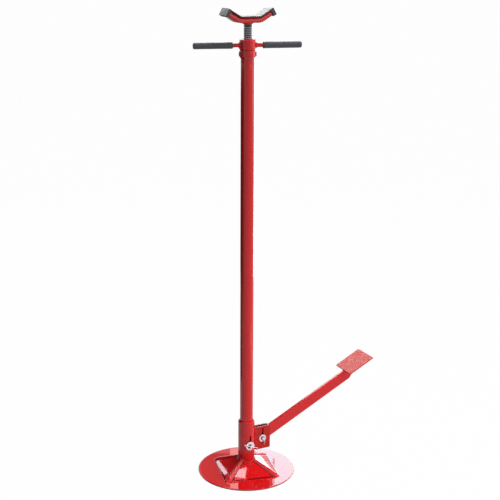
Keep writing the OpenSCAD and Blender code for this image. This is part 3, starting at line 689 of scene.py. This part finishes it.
for label, side in two_sides:
    seam = [(seam_x, side * seam_y, z)
            for z in np.linspace(bracket_low + seam_short, bracket_high - seam_short, 20)]
    made("bracket_weld_" + label, weld_bead(seam, 3 * mm, (1, 0, 0), seed=5 + side), "base", weld_enamel,
         sharp=80)


# The clevis pins with their washers: turned steel, zinc plated, with a flat head on the far side and
# a split pin through the near end. The lift pin goes through the column, the other one is the fulcrum.
metal_grain, given, wanted = effect(
    "metal_grain", {"Grain Scale": 300, "Depth": 0.004 * mm},
    {"Normal": "Vector", "Streak": "Float", "Cloud": "Float"})
place = node(metal_grain, "TexCoord").outputs["Object"]
grain = noise(metal_grain, place, given["Grain Scale"], 3)
fed(metal_grain, wanted, {
    "Normal": bumped(metal_grain, grain, given["Depth"]),
    "Streak": grain,
    "Cloud": spread(metal_grain, noise(metal_grain, place, 90, 4), 0.35, 0.68, 0, 1)})


def metal_finish(slot, name, first, second, smooth, dull, scale, depth):
    paint, tree, skin = principled(name)
    look = node(tree, "Group", {"Grain Scale": scale, "Depth": depth}, node_tree=metal_grain).outputs
    fed(tree, skin, {
        "Base Color": two_tones(tree, look["Cloud"], first, second),
        "Roughness": spread(tree, look["Streak"], 0.3, 0.7, smooth, dull),
        "Normal": look["Normal"],
        "Metallic": 1.0})
    return slot, paint


# The zinc's pink tint is a painted reflection of the red enamel round it.
zinc_look = (0.86, 0.75, 0.8, 1), (0.74, 0.65, 0.7, 1), 0.2, 0.36, 260, 0.003 * mm
zinc = metal_finish("zinc", "bright_zinc", *zinc_look)
washer_t, washer_bore_r = 2 * mm, 4.15 * mm
lift_seat, fulcrum_seat = 25.75 * mm, 9.55 * mm


def along_y(x, z, y):
    """Puts a turned part's Z axis along +Y, from a point on the pin's axis."""
    return Matrix.Translation((x, y, z)) @ Matrix(((1, 0, 0), (0, 0, 1), (0, -1, 0))).to_4x4()


def washer(outer_d):
    r = outer_d / 2
    return lathed(cornered([(washer_bore_r, 0, 0.3), (r, 0, 0.25), (r, washer_t, 0.8),
                            (washer_bore_r, washer_t, 0.3)], 5), 96)


def joined(shapes):
    points, faces, start = [], [], 0
    for shape_points, shape_faces in shapes:
        points.append(np.asarray(shape_points))
        faces += [[i + start for i in face] for face in shape_faces]
        start += len(shape_points)
    return np.concatenate(points), faces


def smooth_line(points, step):
    """A smooth curve through the points, resampled at an even step."""
    points = np.asarray(points, float)
    padded = np.vstack([2 * points[0] - points[1], points, 2 * points[-1] - points[-2]])
    t = np.linspace(0, 1, 12, endpoint=False)[:, None]
    line = []
    for p0, p1, p2, p3 in zip(padded, padded[1:], padded[2:], padded[3:]):
        line.append(0.5 * (2 * p1 + (p2 - p0) * t + (2 * p0 - 5 * p1 + 4 * p2 - p3) * t ** 2
                           + (3 * p1 - p0 - 3 * p2 + p3) * t ** 3))
    return even_line(np.vstack(line + [points[-1:]]), step)


def split_pin(length, neck, bends):
    """Half-round wire bent back on itself: an eye, a shank and two legs opened after fitting."""
    wire_r, pin_half, eye_r = 1.55 * mm, 4 * mm, 2.6 * mm
    eye_x = -pin_half - neck - eye_r - 1.6 * mm
    off = 0.42 * wire_r
    shank_end, tail = 5.3 * mm, length - 9.3 * mm

    def leg(bend, way, shares):
        a = math.radians(bend)
        return [(shank_end + tail * k * math.cos(a), way * (off + tail * k * math.sin(a))) for k in shares]

    upper = leg(bends[0], 1, (0.6, 0.4, 0.2)) + [(x, off) for x in (shank_end - 1 * mm, 0, -pin_half)]
    eye = [(eye_x + eye_r * math.cos(a), eye_r * math.sin(a)) for a in np.radians(np.arange(60, 301, 20))]
    lower = [(x, -off) for x in (-pin_half, 0, shank_end - 1 * mm)] + leg(bends[1], -1, (0.2, 0.5, 0.75, 1))
    line = smooth_line([(x, 0, z) for x, z in upper + eye + lower], 0.7 * mm)
    run = np.gradient(line, axis=0)
    outward = np.column_stack([run[:, 2], np.zeros(len(run)), -run[:, 0]])
    half_round = [(wire_r * math.cos(a), wire_r * math.sin(a) - off) for a in np.linspace(0, math.pi, 11)]
    half_round = rounded([(wire_r, -off)] + half_round[1:-1] + [(-wire_r, -off)], 0.15 * mm, 2)
    return swept(line, half_round, outward)


# Each pin's body, its X and Z, the washers' seat and size, the split pin's length, neck and bent legs,
# its turn, and how far aside and how wide the painted shade round the pin's end lies.
pins = {
    "fulcrum": ("base", fulcrum_x, fulcrum_z, fulcrum_seat, 24 * mm,
                (24 * mm, 1 * mm, (9, 9)), -71, 0, 5.6 * mm),
    "lift": ("column", 0, lift_pin_z, lift_seat, 29 * mm,
             (42 * mm, 12 * mm, (0, 38)), -22, 2 * mm, 6.4 * mm),
}
pin_shade_edge, cotter_out = 1.2 * mm, 3.05 * mm
for name, (body, x, z, seat, washer_d, cotter, turn, pin_shade_aside, pin_shade_r) in pins.items():
    softened(name + "_clevis_pin", name + "_pin", body, zinc, 0.25 * mm)
    # Painted shade: a dark disc round each pin's end, a little to one side, is laid on its washers as the
    # shadow in the gap there.
    pin_shaded_zinc = metal_finish("zinc", "zinc_pin_shade_" + name, *zinc_look)
    tree, skin, place = opened(pin_shaded_zinc)
    flat = node(tree, "VectorMath", {0: place, 1: (1, 0, 1)}, operation="MULTIPLY")
    reach = node(tree, "VectorMath", {0: flat.outputs[0], 1: (x - pin_shade_aside, 0, z)},
                 operation="DISTANCE").outputs["Value"]
    pin_end_shade = spread(tree, reach, pin_shade_r, pin_shade_r + pin_shade_edge, 0.97, 0)
    tinted(tree, skin, pin_end_shade, (0.015, 0.015, 0.03, 1))
    near = placed(placed(washer(washer_d), Matrix.Rotation(math.pi, 4, "X")), along_y(x, z, -seat))
    far = placed(washer(washer_d), along_y(x, z, seat))
    made(name + "_pin_washers", joined([near, far]), body, pin_shaded_zinc, [name + "_washers"])
    through_hole = (Matrix.Translation((x, -(seat + washer_t + cotter_out), z))
                    @ Matrix.Rotation(math.radians(-turn), 4, "Y"))
    made(name + "_split_pin", placed(split_pin(*cotter), through_hole), body, zinc, [name + "_cotter"],
         sharp=60)


# The pedal: a flat steel bar, bored for the fulcrum pin and slotted for the lift pin, and a foot
# plate of 4 mm sheet welded on its slanted end with a fillet along each side.
arm_slope = math.radians(26.3)
arm_top, arm_half_t = 22 * mm, 4 * mm
plate_from, plate_len, plate_half_w, plate_t = 342 * mm, 95 * mm, 44 * mm, 4 * mm
seam_from, seam_len, seam_lap = 4 * mm, 52 * mm, 0.6 * mm
softened("lever_bar", "pedal_arm", "pedal", enamel, 0.9 * mm, 3)
on_arm = Matrix.Translation((fulcrum_x, 0, fulcrum_z)) @ Matrix.Rotation(-arm_slope, 4, "Y")
plate_outline = rounded([(plate_from, -plate_half_w), (plate_from + plate_len, -plate_half_w),
                         (plate_from + plate_len, plate_half_w), (plate_from, plate_half_w)], 5 * mm, 8)
tread_enamel = red_enamel("red_enamel_scuffed", 170, 0.002 * mm, 0.01 * mm, 0.34, 0.5)
tree, skin, place = opened(tread_enamel)
skin["Specular IOR Level"].default_value = 0.16
# Shoe scuffs and painted sheen: pale salmon patches in the tread's colour stand for wear and for the light
# the plate reflects.
scuffs_and_sheen = spread(tree, noise(tree, place, 26, 6, 0.6), 0.35, 0.65, 0.25, 0.5)
tinted(tree, skin, scuffs_and_sheen, (0.38, 0.15, 0.12, 1))
foot_plate = made("foot_plate", placed(prism(plate_outline, arm_top + slip, arm_top + plate_t), on_arm),
                  "pedal", tread_enamel, ["pedal_plate"])
edges_broken(foot_plate, 0.9 * mm, 3)
for label, side in two_sides:
    seam = [on_arm @ Vector((u, side * (arm_half_t + seam_lap), arm_top - seam_lap))
            for u in np.linspace(plate_from + seam_from, plate_from + seam_from + seam_len, 20)]
    made("foot_plate_weld_" + label, weld_bead(seam, 2.4 * mm, (0, side, 0), seed=9 + side), "pedal",
         weld_enamel, sharp=80)


# The column: a 1.23 m length of drawn steel tube with 3 mm walls, enamelled. Its foot is slotted for
# the lever and drilled for the lift pin, and its top end sits in the bearing head.
column_r, column_bore, column_foot, column_top = 20 * mm, 17 * mm, 44 * mm, 1272 * mm
seat_r, head_low = 18.75 * mm, 1263 * mm
pin_hole_r, foot_slot_half, foot_slot_top = 4.1 * mm, 5 * mm, 68 * mm


def box_outline(half, low, high, radius, steps=4):
    """A rounded oblong outline, twice as wide as its half width."""
    return rounded([(-half, low), (half, low), (half, high), (-half, high)], radius, steps)


def bore(start):
    """A drill of the pins' and bolts' size, from a start outwards."""
    return prism(circle_outline(pin_hole_r, 32), start, through)


tube_side = rounded([(column_bore, column_foot), (column_r, column_foot), (column_r, head_low - slip),
                     (seat_r, head_low - slip), (seat_r, column_top), (column_bore, column_top)], 0.3 * mm)
column_enamel = red_enamel("red_enamel_column", 190, 0.01 * mm, 0.02 * mm, 0.17, 0.26)
column = made("column", lathed(with_rings(tube_side, 20 * mm), 120), "column", column_enamel,
              ["column_tube"])
pin_bore = placed(bore(-through), Matrix.Translation((0, 0, lift_pin_z)) @ facing_y)
foot_slot = placed(prism(box_outline(foot_slot_half, -foot_slot_half, foot_slot_top, 0), 0, past_wall),
                   Matrix.Translation((0, 0, column_foot)) @ facing_x)
carved(column, [pin_bore, foot_slot])


# The bearing head: a turned steel cup pressed on the tube and welded, which holds the thrust bearing.
# Two hex bolts with dog points reach through its wall into the nut's groove, so the nut can turn but
# not lift.
head_r, bearing_r, head_high = 23.5 * mm, 18.5 * mm, 1300.5 * mm
shoulder, bearing_floor = 1272.05 * mm, 1274.95 * mm
neck_r, flare_low, flare_high = 14 * mm, 1276.5 * mm, 1281 * mm
head_side = cornered([
    (seat_r + slip, head_low, 0.2), (column_r, head_low, 0.4), (column_r, flare_low, 2),
    (head_r, flare_high, 2), (head_r, head_high, 0.8), (bearing_r, head_high, 0.6),
    (bearing_r, bearing_floor, 0.2), (neck_r, bearing_floor, 0.3), (neck_r, shoulder, 0.3),
    (seat_r + slip, shoulder, 0)])
head = made("bearing_head", lathed(with_rings(head_side, 4 * mm), 120), "column", enamel,
            ["bearing_housing"])
bolt_turn, bolt_z = math.radians(-27.5), 1289 * mm
bolt_seat, spot_r, bolt_across, bolt_head_h = head_r - 1.4 * mm, 8.5 * mm, 13 * mm, 3.2 * mm


def sideways(turn, height):
    """Lays a part's Z axis outwards from the column's axis, at a turn and a height."""
    return (Matrix.Rotation(turn, 4, "Z") @ Matrix.Translation((0, 0, height))
            @ Matrix.Rotation(math.pi / 2, 4, "Y"))


on_bolts = [sideways(bolt_turn + side, bolt_z) for side in (0, math.pi)]
spots, bores = prism(circle_outline(spot_r, 48), bolt_seat, through), bore(10 * mm)
carved(head, [placed(cut, bolt) for cut in (spots, bores) for bolt in on_bolts])
edges_broken(head, 0.3 * mm)


def ring_line(radius, height, count=90):
    angles = np.arange(count) * 2 * math.pi / count
    return [(radius * math.cos(a), radius * math.sin(a), height) for a in angles]


head_ring = ring_line(column_r - 0.3 * mm, head_low, 180)
made("head_weld", weld_bead(head_ring, 0.9 * mm, (0, 0, 1), closed=True, seed=3), "column", weld_enamel,
     sharp=80)


def hex_head(across, height):
    """A hex head with the round chamfer that a lathe leaves on its outer face."""
    apothem, steps = across / 2, 72
    angles = np.arange(steps) * 2 * math.pi / steps
    edge = apothem / np.cos((angles + math.pi / 6) % (math.pi / 3) - math.pi / 6)
    chamfer = height - np.clip(edge - 0.95 * apothem, 0, None) * math.tan(math.radians(30))
    rings = [(0, height), (0.55 * apothem, height), (0.6 * apothem, height - 0.15 * mm),
             (0.93 * apothem, height), (edge - 0.25 * mm, chamfer), (edge, chamfer - 0.25 * mm),
             (edge, 0.3 * mm), (edge - 0.2 * mm, 0), (0, 0)]
    rows = [np.column_stack([r * np.cos(angles), r * np.sin(angles), z + 0 * angles]) for r, z in rings]
    return np.concatenate(rows), grid_faces(len(rows), steps)


shank = rounded([(0, 16.7 * mm), (3 * mm, 16.7 * mm), (3 * mm, 18.5 * mm), (4 * mm, 18.55 * mm),
                 (4 * mm, bolt_seat + 1 * mm), (0, bolt_seat + 1 * mm)], 0.2 * mm, 2)
seated_head = placed(hex_head(bolt_across, bolt_head_h), Matrix.Translation((0, 0, bolt_seat + slip)))
bolts = [placed(part, bolt) for bolt in on_bolts for part in (lathed(shank, 48), seated_head)]
made("hex_bolts", joined(bolts), "column", enamel, ["retaining_bolts"], sharp=25)


# The thrust bearing: hardened and ground rings with a raceway in each, eighteen balls and a pressed
# cage between them, all packed in grease inside the head.
bearing_steel = metal_finish("bearing_steel", "bearing_steel", (0.62, 0.63, 0.65, 1),
                             (0.52, 0.53, 0.56, 1), 0.12, 0.22, 500, 0.002 * mm)
softened("lower_race", "bearing_lower_race", "column", bearing_steel, 0.2 * mm)
softened("upper_race", "bearing_upper_race", "handle", bearing_steel, 0.2 * mm)
softened("ball_cage", "bearing_cage", "cage", bearing_steel, 0.1 * mm)
softened("thrust_balls", "bearing_balls", "cage", bearing_steel, 0.02 * mm, 1, 60, 60)


# The nut: turned from solid steel bar, with a collar round the thread, a rounded lower edge over the
# head, a groove for the bolts and a spigot that stands on the bearing. The rods are welded into it.
hub_low, hub_high, hub_r = 1301.1 * mm, 1332.6 * mm, 23.5 * mm
nut_bore, spin_r, spigot_low = 12.1 * mm, 18.2 * mm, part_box("handle_hub")[0].z
groove_r, groove_low, groove_high = 15.4 * mm, bolt_z - 3.5 * mm, bolt_z + 3.5 * mm
collar_r, shoulder_top = 14 * mm, hub_high - 2.4 * mm
nut_side = cornered([
    (nut_bore, spigot_low, 0.3), (spin_r, spigot_low, 0.4), (spin_r, groove_low, 0.2),
    (groove_r, groove_low, 0.2), (groove_r, groove_high, 0.2), (spin_r, groove_high, 0.2),
    (spin_r, hub_low, 0.3), (hub_r - 1.1 * mm, hub_low, 0.5), (hub_r, hub_low + 1.8 * mm, 1.2),
    (hub_r, shoulder_top - 0.9 * mm, 0.8), (hub_r - 0.9 * mm, shoulder_top, 0.8),
    (collar_r + 0.6 * mm, shoulder_top, 0.5), (collar_r, shoulder_top + 0.6 * mm, 0.5),
    (collar_r, hub_high - 0.8 * mm, 0.6), (collar_r - 0.8 * mm, hub_high, 0.6),
    (nut_bore, hub_high, 0.5)], 5)
nut_enamel = red_enamel("red_enamel_nut", 170, 0.02 * mm, 0.06 * mm, 0.16, 0.28)
made("turning_nut", lathed(nut_side, 144), "handle", nut_enamel, ["handle_hub"])

handle_turn = math.radians(-14.8)
rod_r, rod_in, rod_reach = 6 * mm, 19.6 * mm, 154.5 * mm
rod_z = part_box("handle_rod_left")[0].z + rod_r
on_rods = {"right": sideways(handle_turn, rod_z), "left": sideways(handle_turn + math.pi, rod_z)}

root_side = cornered([
    (r * mm, z * mm, 0.8) for r, z in ((5.9, 17), (11.2, 17), (10.6, 20.2), (9.2, 22.4), (7.9, 24.2),
                                       (7.0, 26.2), (6.5, 27.8), (5.9, 28))], 3)
rod_ring = ring_line(8.4 * mm, 23.4 * mm)
for label, on_rod in on_rods.items():
    made("rod_root_" + label, placed(lathed(root_side, 64), on_rod), "handle", weld_enamel, sharp=60)
    bead = weld_bead(rod_ring, 1.7 * mm, (0, 0, 1), closed=True, seed=11)
    made("rod_weld_" + label, placed(bead, on_rod), "handle", weld_enamel, sharp=80)


# The handle rods: 12 mm round steel bar, with its ends cut square and their edges broken, enamelled
# with the nut. A dipped vinyl sleeve with a rolled lip and a closed round end is pushed over each.
rod_side = cornered([(0, rod_in, 0), (rod_r, rod_in, 0.4), (rod_r, rod_reach, 1), (0, rod_reach, 0)])
moulded_skin, given, wanted = effect(
    "moulded_skin", {"Grain Scale": 900, "Grain Depth": 0.03 * mm, "Wave Depth": 0.1 * mm},
    {"Normal": "Vector", "Bloom": "Float"})
place = node(moulded_skin, "TexCoord").outputs["Object"]
waves = bumped(moulded_skin, noise(moulded_skin, place, 45, 2), given["Wave Depth"])
pores = node(moulded_skin, "TexVoronoi", {"Vector": place, "Scale": given["Grain Scale"]},
             feature="SMOOTH_F1").outputs["Distance"]
fed(moulded_skin, wanted, {
    "Normal": bumped(moulded_skin, pores, given["Grain Depth"], waves),
    "Bloom": spread(moulded_skin, noise(moulded_skin, place, 24, 6, 0.62), 0.35, 0.7, 0, 1)})


def moulded(slot, name, clean, dusty, smooth, dull, scale, depth, wave_depth):
    """Vinyl or rubber from a mould, with its pores, its unevenness and the pale bloom of its surface."""
    paint, tree, skin = principled(name)
    look = node(tree, "Group", {"Grain Scale": scale, "Grain Depth": depth, "Wave Depth": wave_depth},
                node_tree=moulded_skin).outputs
    fed(tree, skin, {
        "Base Color": two_tones(tree, look["Bloom"], clean, dusty),
        "Roughness": spread(tree, look["Bloom"], 0, 1, smooth, dull),
        "Normal": look["Normal"],
        "Specular IOR Level": 0.5})
    return slot, paint


vinyl = moulded("vinyl", "dipped_vinyl", (0.032, 0.036, 0.043, 1), (0.05, 0.054, 0.06, 1), 0.42, 0.58,
                1400, 0.012 * mm, 0.12 * mm)
grip_from, grip_to, grip_r, grip_bore = 44 * mm, 158 * mm, 9.5 * mm, 6.05 * mm
grip_run, grip_end_t = grip_to - grip_from, 3.4 * mm
# From the rolled lip along the slightly uneven sleeve and round its closed end, and back inside.
grip_side = [(grip_bore, 0.3 * mm), (grip_bore + 0.4 * mm, 0), (grip_r - 1.1 * mm, 0),
             (grip_r - 0.3 * mm, 0.4 * mm), (grip_r, 1.2 * mm), (grip_r - 0.1 * mm, 2 * mm),
             (grip_r - 0.55 * mm, 2.5 * mm)]
grip_side += [(grip_r - 0.25 * mm + 0.2 * mm * math.sin(t / (11 * mm)) * math.cos(t / (37 * mm)), t)
              for t in np.linspace(3 * mm, grip_run - 7 * mm, 40)]
grip_side += [((grip_r - 0.1 * mm) * math.cos(a) ** 0.62, grip_run - 5.6 * mm + 5.4 * mm * math.sin(a))
              for a in np.radians([14, 28, 42, 56, 68, 78, 85])]
grip_side += [(0.9 * mm, grip_run - 0.1 * mm), (0, grip_run), (0, grip_run - grip_end_t),
              (grip_bore, grip_run - grip_end_t)]
for label, on_rod in on_rods.items():
    made("handle_bar_" + label, placed(lathed(rod_side, 64), on_rod), "handle", enamel,
         ["handle_rod_" + label])
    made("vinyl_grip_" + label, placed(lathed(with_rings(grip_side, 30 * mm), 72),
                                       on_rod @ Matrix.Translation((0, 0, grip_from))),
         "handle", vinyl, ["grip_" + label], sharp=50)


# The lift screw: 24 mm steel with a rolled right-hand trapezoidal thread of 5 mm pitch, oiled black,
# with bright crests where the nut rubs. A bolt and washer at its foot stop it in the nut.
root_r, pitch = 10.3 * mm, 5 * mm
screw_low, screw_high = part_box("lift_screw")[0].z, 1371.3 * mm
runout, end_rim_low, end_rim_high = 1.5 * mm, 1.5 * mm, 0.8 * mm
thread_profile = [(0.0, 11.8), (0.12, 12.0), (2.30, 12.0), (2.42, 11.8), (2.9, 10.5), (3.05, 10.3),
                  (4.37, 10.3), (4.52, 10.5)]


def threaded_rod():
    """Rows that follow the helix, with the thread fading out at both ends."""
    steps, per_turn = 48, len(thread_profile)
    turns = int((screw_high - screw_low) / pitch) + 3
    offsets, radii = np.array(thread_profile).T * mm
    start = (np.arange(turns)[:, None] * pitch + offsets[None]).ravel() + screw_low - 1.5 * pitch
    radius = np.tile(radii, turns)
    angle = np.arange(steps) * 2 * math.pi / steps
    z = start[:, None] + pitch * np.arange(steps) / steps
    room = np.minimum(z - screw_low - end_rim_low, screw_high - end_rim_high - z)
    r = root_r + (radius[:, None] - root_r) * np.clip(room / runout, 0, 1)
    z = np.clip(z, screw_low, screw_high)
    points = np.stack([r * np.cos(angle), r * np.sin(angle), z], axis=-1).reshape(-1, 3)
    rows = len(start)
    index = np.arange(rows * steps).reshape(rows, steps)
    faces = []
    for j in range(steps):
        here = index[:, j]
        beside = index[:, j + 1] if j + 1 < steps else np.roll(index[:, 0], -per_turn)
        last = rows - 1 if j + 1 < steps else rows - 1 - per_turn
        faces += np.stack([here[:last], beside[:last], beside[1:last + 1], here[1:last + 1]], axis=1).tolist()
    return points, faces + [index[0, ::-1].tolist(), index[-1].tolist()]


screw_steel, tree, skin = principled("oiled_screw_steel")
look = node(tree, "Group", {"Grain Scale": 420, "Depth": 0.008 * mm}, node_tree=metal_grain).outputs
flat_place = node(tree, "VectorMath", {0: node(tree, "TexCoord").outputs["Object"], 1: (1, 1, 0)},
                  operation="MULTIPLY")
from_axis = node(tree, "VectorMath", {0: flat_place.outputs[0]}, operation="LENGTH").outputs["Value"]
crest_from, crest_to = 11.6 * mm, 11.95 * mm
rubbed = spread(tree, from_axis, crest_from, crest_to, 0, 0.85)
worn = reckoned(tree, "MULTIPLY", rubbed, look["Streak"])
oiled = two_tones(tree, look["Cloud"], (0.028, 0.028, 0.032, 1), (0.05, 0.05, 0.055, 1))
fed(tree, skin, {
    "Base Color": two_tones(tree, worn, oiled, (0.46, 0.47, 0.49, 1)),
    "Roughness": spread(tree, look["Streak"], 0.3, 0.7, 0.4, 0.52),
    "Normal": look["Normal"],
    "Metallic": rubbed,
    "Specular IOR Level": 0.3})
made("threaded_screw", threaded_rod(), "screw", ("dark_steel", screw_steel), ["lift_screw"], sharp=40)
dark_steel = metal_finish("dark_steel", "black_steel", (0.09, 0.09, 0.10, 1), (0.16, 0.16, 0.17, 1),
                          0.28, 0.46, 300, 0.006 * mm)
softened("stop_washer", "screw_stop_washer", "screw", bearing_steel, 0.3 * mm)
softened("stop_bolt", "screw_stop_bolt", "screw", dark_steel, 0.4 * mm)


# The saddle's cup: a turned steel socket on the screw's end, held by a zinc-plated cross pin and
# welded under the channel with a bead all round.
softened("saddle_cup", "saddle_socket", "screw", enamel, 0.4 * mm)
softened("cross_pin", "saddle_pin", "screw", zinc, 0.3 * mm)
saddle_z, channel_t, flange_h, cup_top_r = 1391.3 * mm, 4 * mm, 15 * mm, 15 * mm
cup_ring = ring_line(cup_top_r + 0.4 * mm, saddle_z - flange_h - 0.6 * mm)
made("cup_weld", weld_bead(cup_ring, 1.8 * mm, (0, 0, 1), closed=True, seed=21), "screw", weld_enamel,
     sharp=80)


# The saddle: a folded steel channel bent up at both ends into a cradle and closed underneath by a
# plate with a hole for the cup, all enamelled. A moulded rubber boot lies over its top and round its
# ends, so that it doesn't mark what it carries.
bend_r, wing_angle, wing_len = 22 * mm, math.radians(30), 38 * mm
bend_x = 31 * mm - bend_r * math.tan(wing_angle / 2)
channel_half_w, channel_rounding = 20 * mm, [5.5 * mm, 5.5 * mm, 2 * mm, 2 * mm]
boot_t, boot_over, boot_rounding = 3.8 * mm, 3 * mm, [1.5 * mm, 1.5 * mm, 0.5 * mm, 0.5 * mm]
cap_t, cap_over, cap_under, cap_in, cap_out = 4.2 * mm, 3.4 * mm, 3 * mm, 8 * mm, 2.2 * mm


def saddle_place(station, depth):
    """X and Z of a line that lies a depth under the channel's top, at a station along the right half."""
    kind, value = station
    if kind == "flat":
        return value, saddle_z - depth
    angle = value if kind == "bend" else wing_angle
    run = value if kind == "wing" else 0
    x = bend_x + (bend_r + depth) * math.sin(angle) + run * math.cos(angle)
    return x, saddle_z + bend_r - (bend_r + depth) * math.cos(angle) + run * math.sin(angle)


def saddle_sweep(outline, stations):
    """Carries an outline of width and depth along stations of the saddle. A first value of -1 is left."""
    rings = []
    for side, station in stations:
        ring = [saddle_place(station, depth) for _, depth in outline]
        rings.append([(side * x, y, z) for (x, z), (y, _) in zip(ring, outline)])
    count = len(outline)
    faces = grid_faces(len(rings), count)
    faces += [list(range(count))[::-1], [(len(rings) - 1) * count + i for i in range(count)]]
    return np.array(rings).reshape(-1, 3), faces


def stations_to(wing_end):
    """Stations from the left wing's end to the right one's."""
    half = [("flat", x) for x in np.linspace(0, bend_x, 6)[1:-1]]
    half += [("bend", a) for a in np.radians(np.arange(0, 30.1, 2.5))]
    half += [("wing", s) for s in np.linspace(0, wing_end, 8)[1:]]
    return [(-1, s) for s in half[::-1]] + [(1, ("flat", 0))] + [(1, s) for s in half]


def over_both_ends(outline, start, end):
    """Carries an outline along both wings, from a start to an end."""
    return [saddle_sweep(outline, [(side, ("wing", s)) for s in (start, end)]) for side in (-1, 1)]


channel_outline = box_outline(channel_half_w, 0, flange_h, channel_rounding, 5)
channel = made("bent_channel", saddle_sweep(channel_outline, stations_to(wing_len)), "screw", enamel,
               ["saddle_channel"])
inside = box_outline(channel_half_w - channel_t, channel_t, flange_h - channel_t, 1.6 * mm, 3)
cup_hole = prism(circle_outline(cup_top_r, 64), saddle_z - 2 * flange_h, saddle_z - channel_t - 1 * mm)
carved(channel, [saddle_sweep(inside, stations_to(wing_len + 2 * mm)), cup_hole])

rubber = moulded("rubber", "moulded_rubber", (0.02, 0.02, 0.022, 1), (0.04, 0.04, 0.042, 1), 0.42, 0.55,
                 1100, 0.015 * mm, 0.06 * mm)
slab_outline = box_outline(channel_half_w + boot_over, -boot_t, -slip, boot_rounding)
boot = made("rubber_boot", saddle_sweep(slab_outline, stations_to(wing_len - 5 * mm)), "screw", rubber,
            ["saddle_pad"], sharp=45)
cap_outline = box_outline(channel_half_w + cap_over, -cap_t, flange_h + cap_under, 2 * mm, 6)
carved(boot, over_both_ends(cap_outline, wing_len - cap_in, wing_len + cap_out), "UNION", sharp=45)
hollow = box_outline(channel_half_w + slip, -slip, flange_h + 2 * slip, 0.3 * mm, 2)
carved(boot, over_both_ends(hollow, wing_len - 12 * mm, wing_len + 2 * slip), sharp=45)
edges_broken(boot, 1.2 * mm, 3, 40)
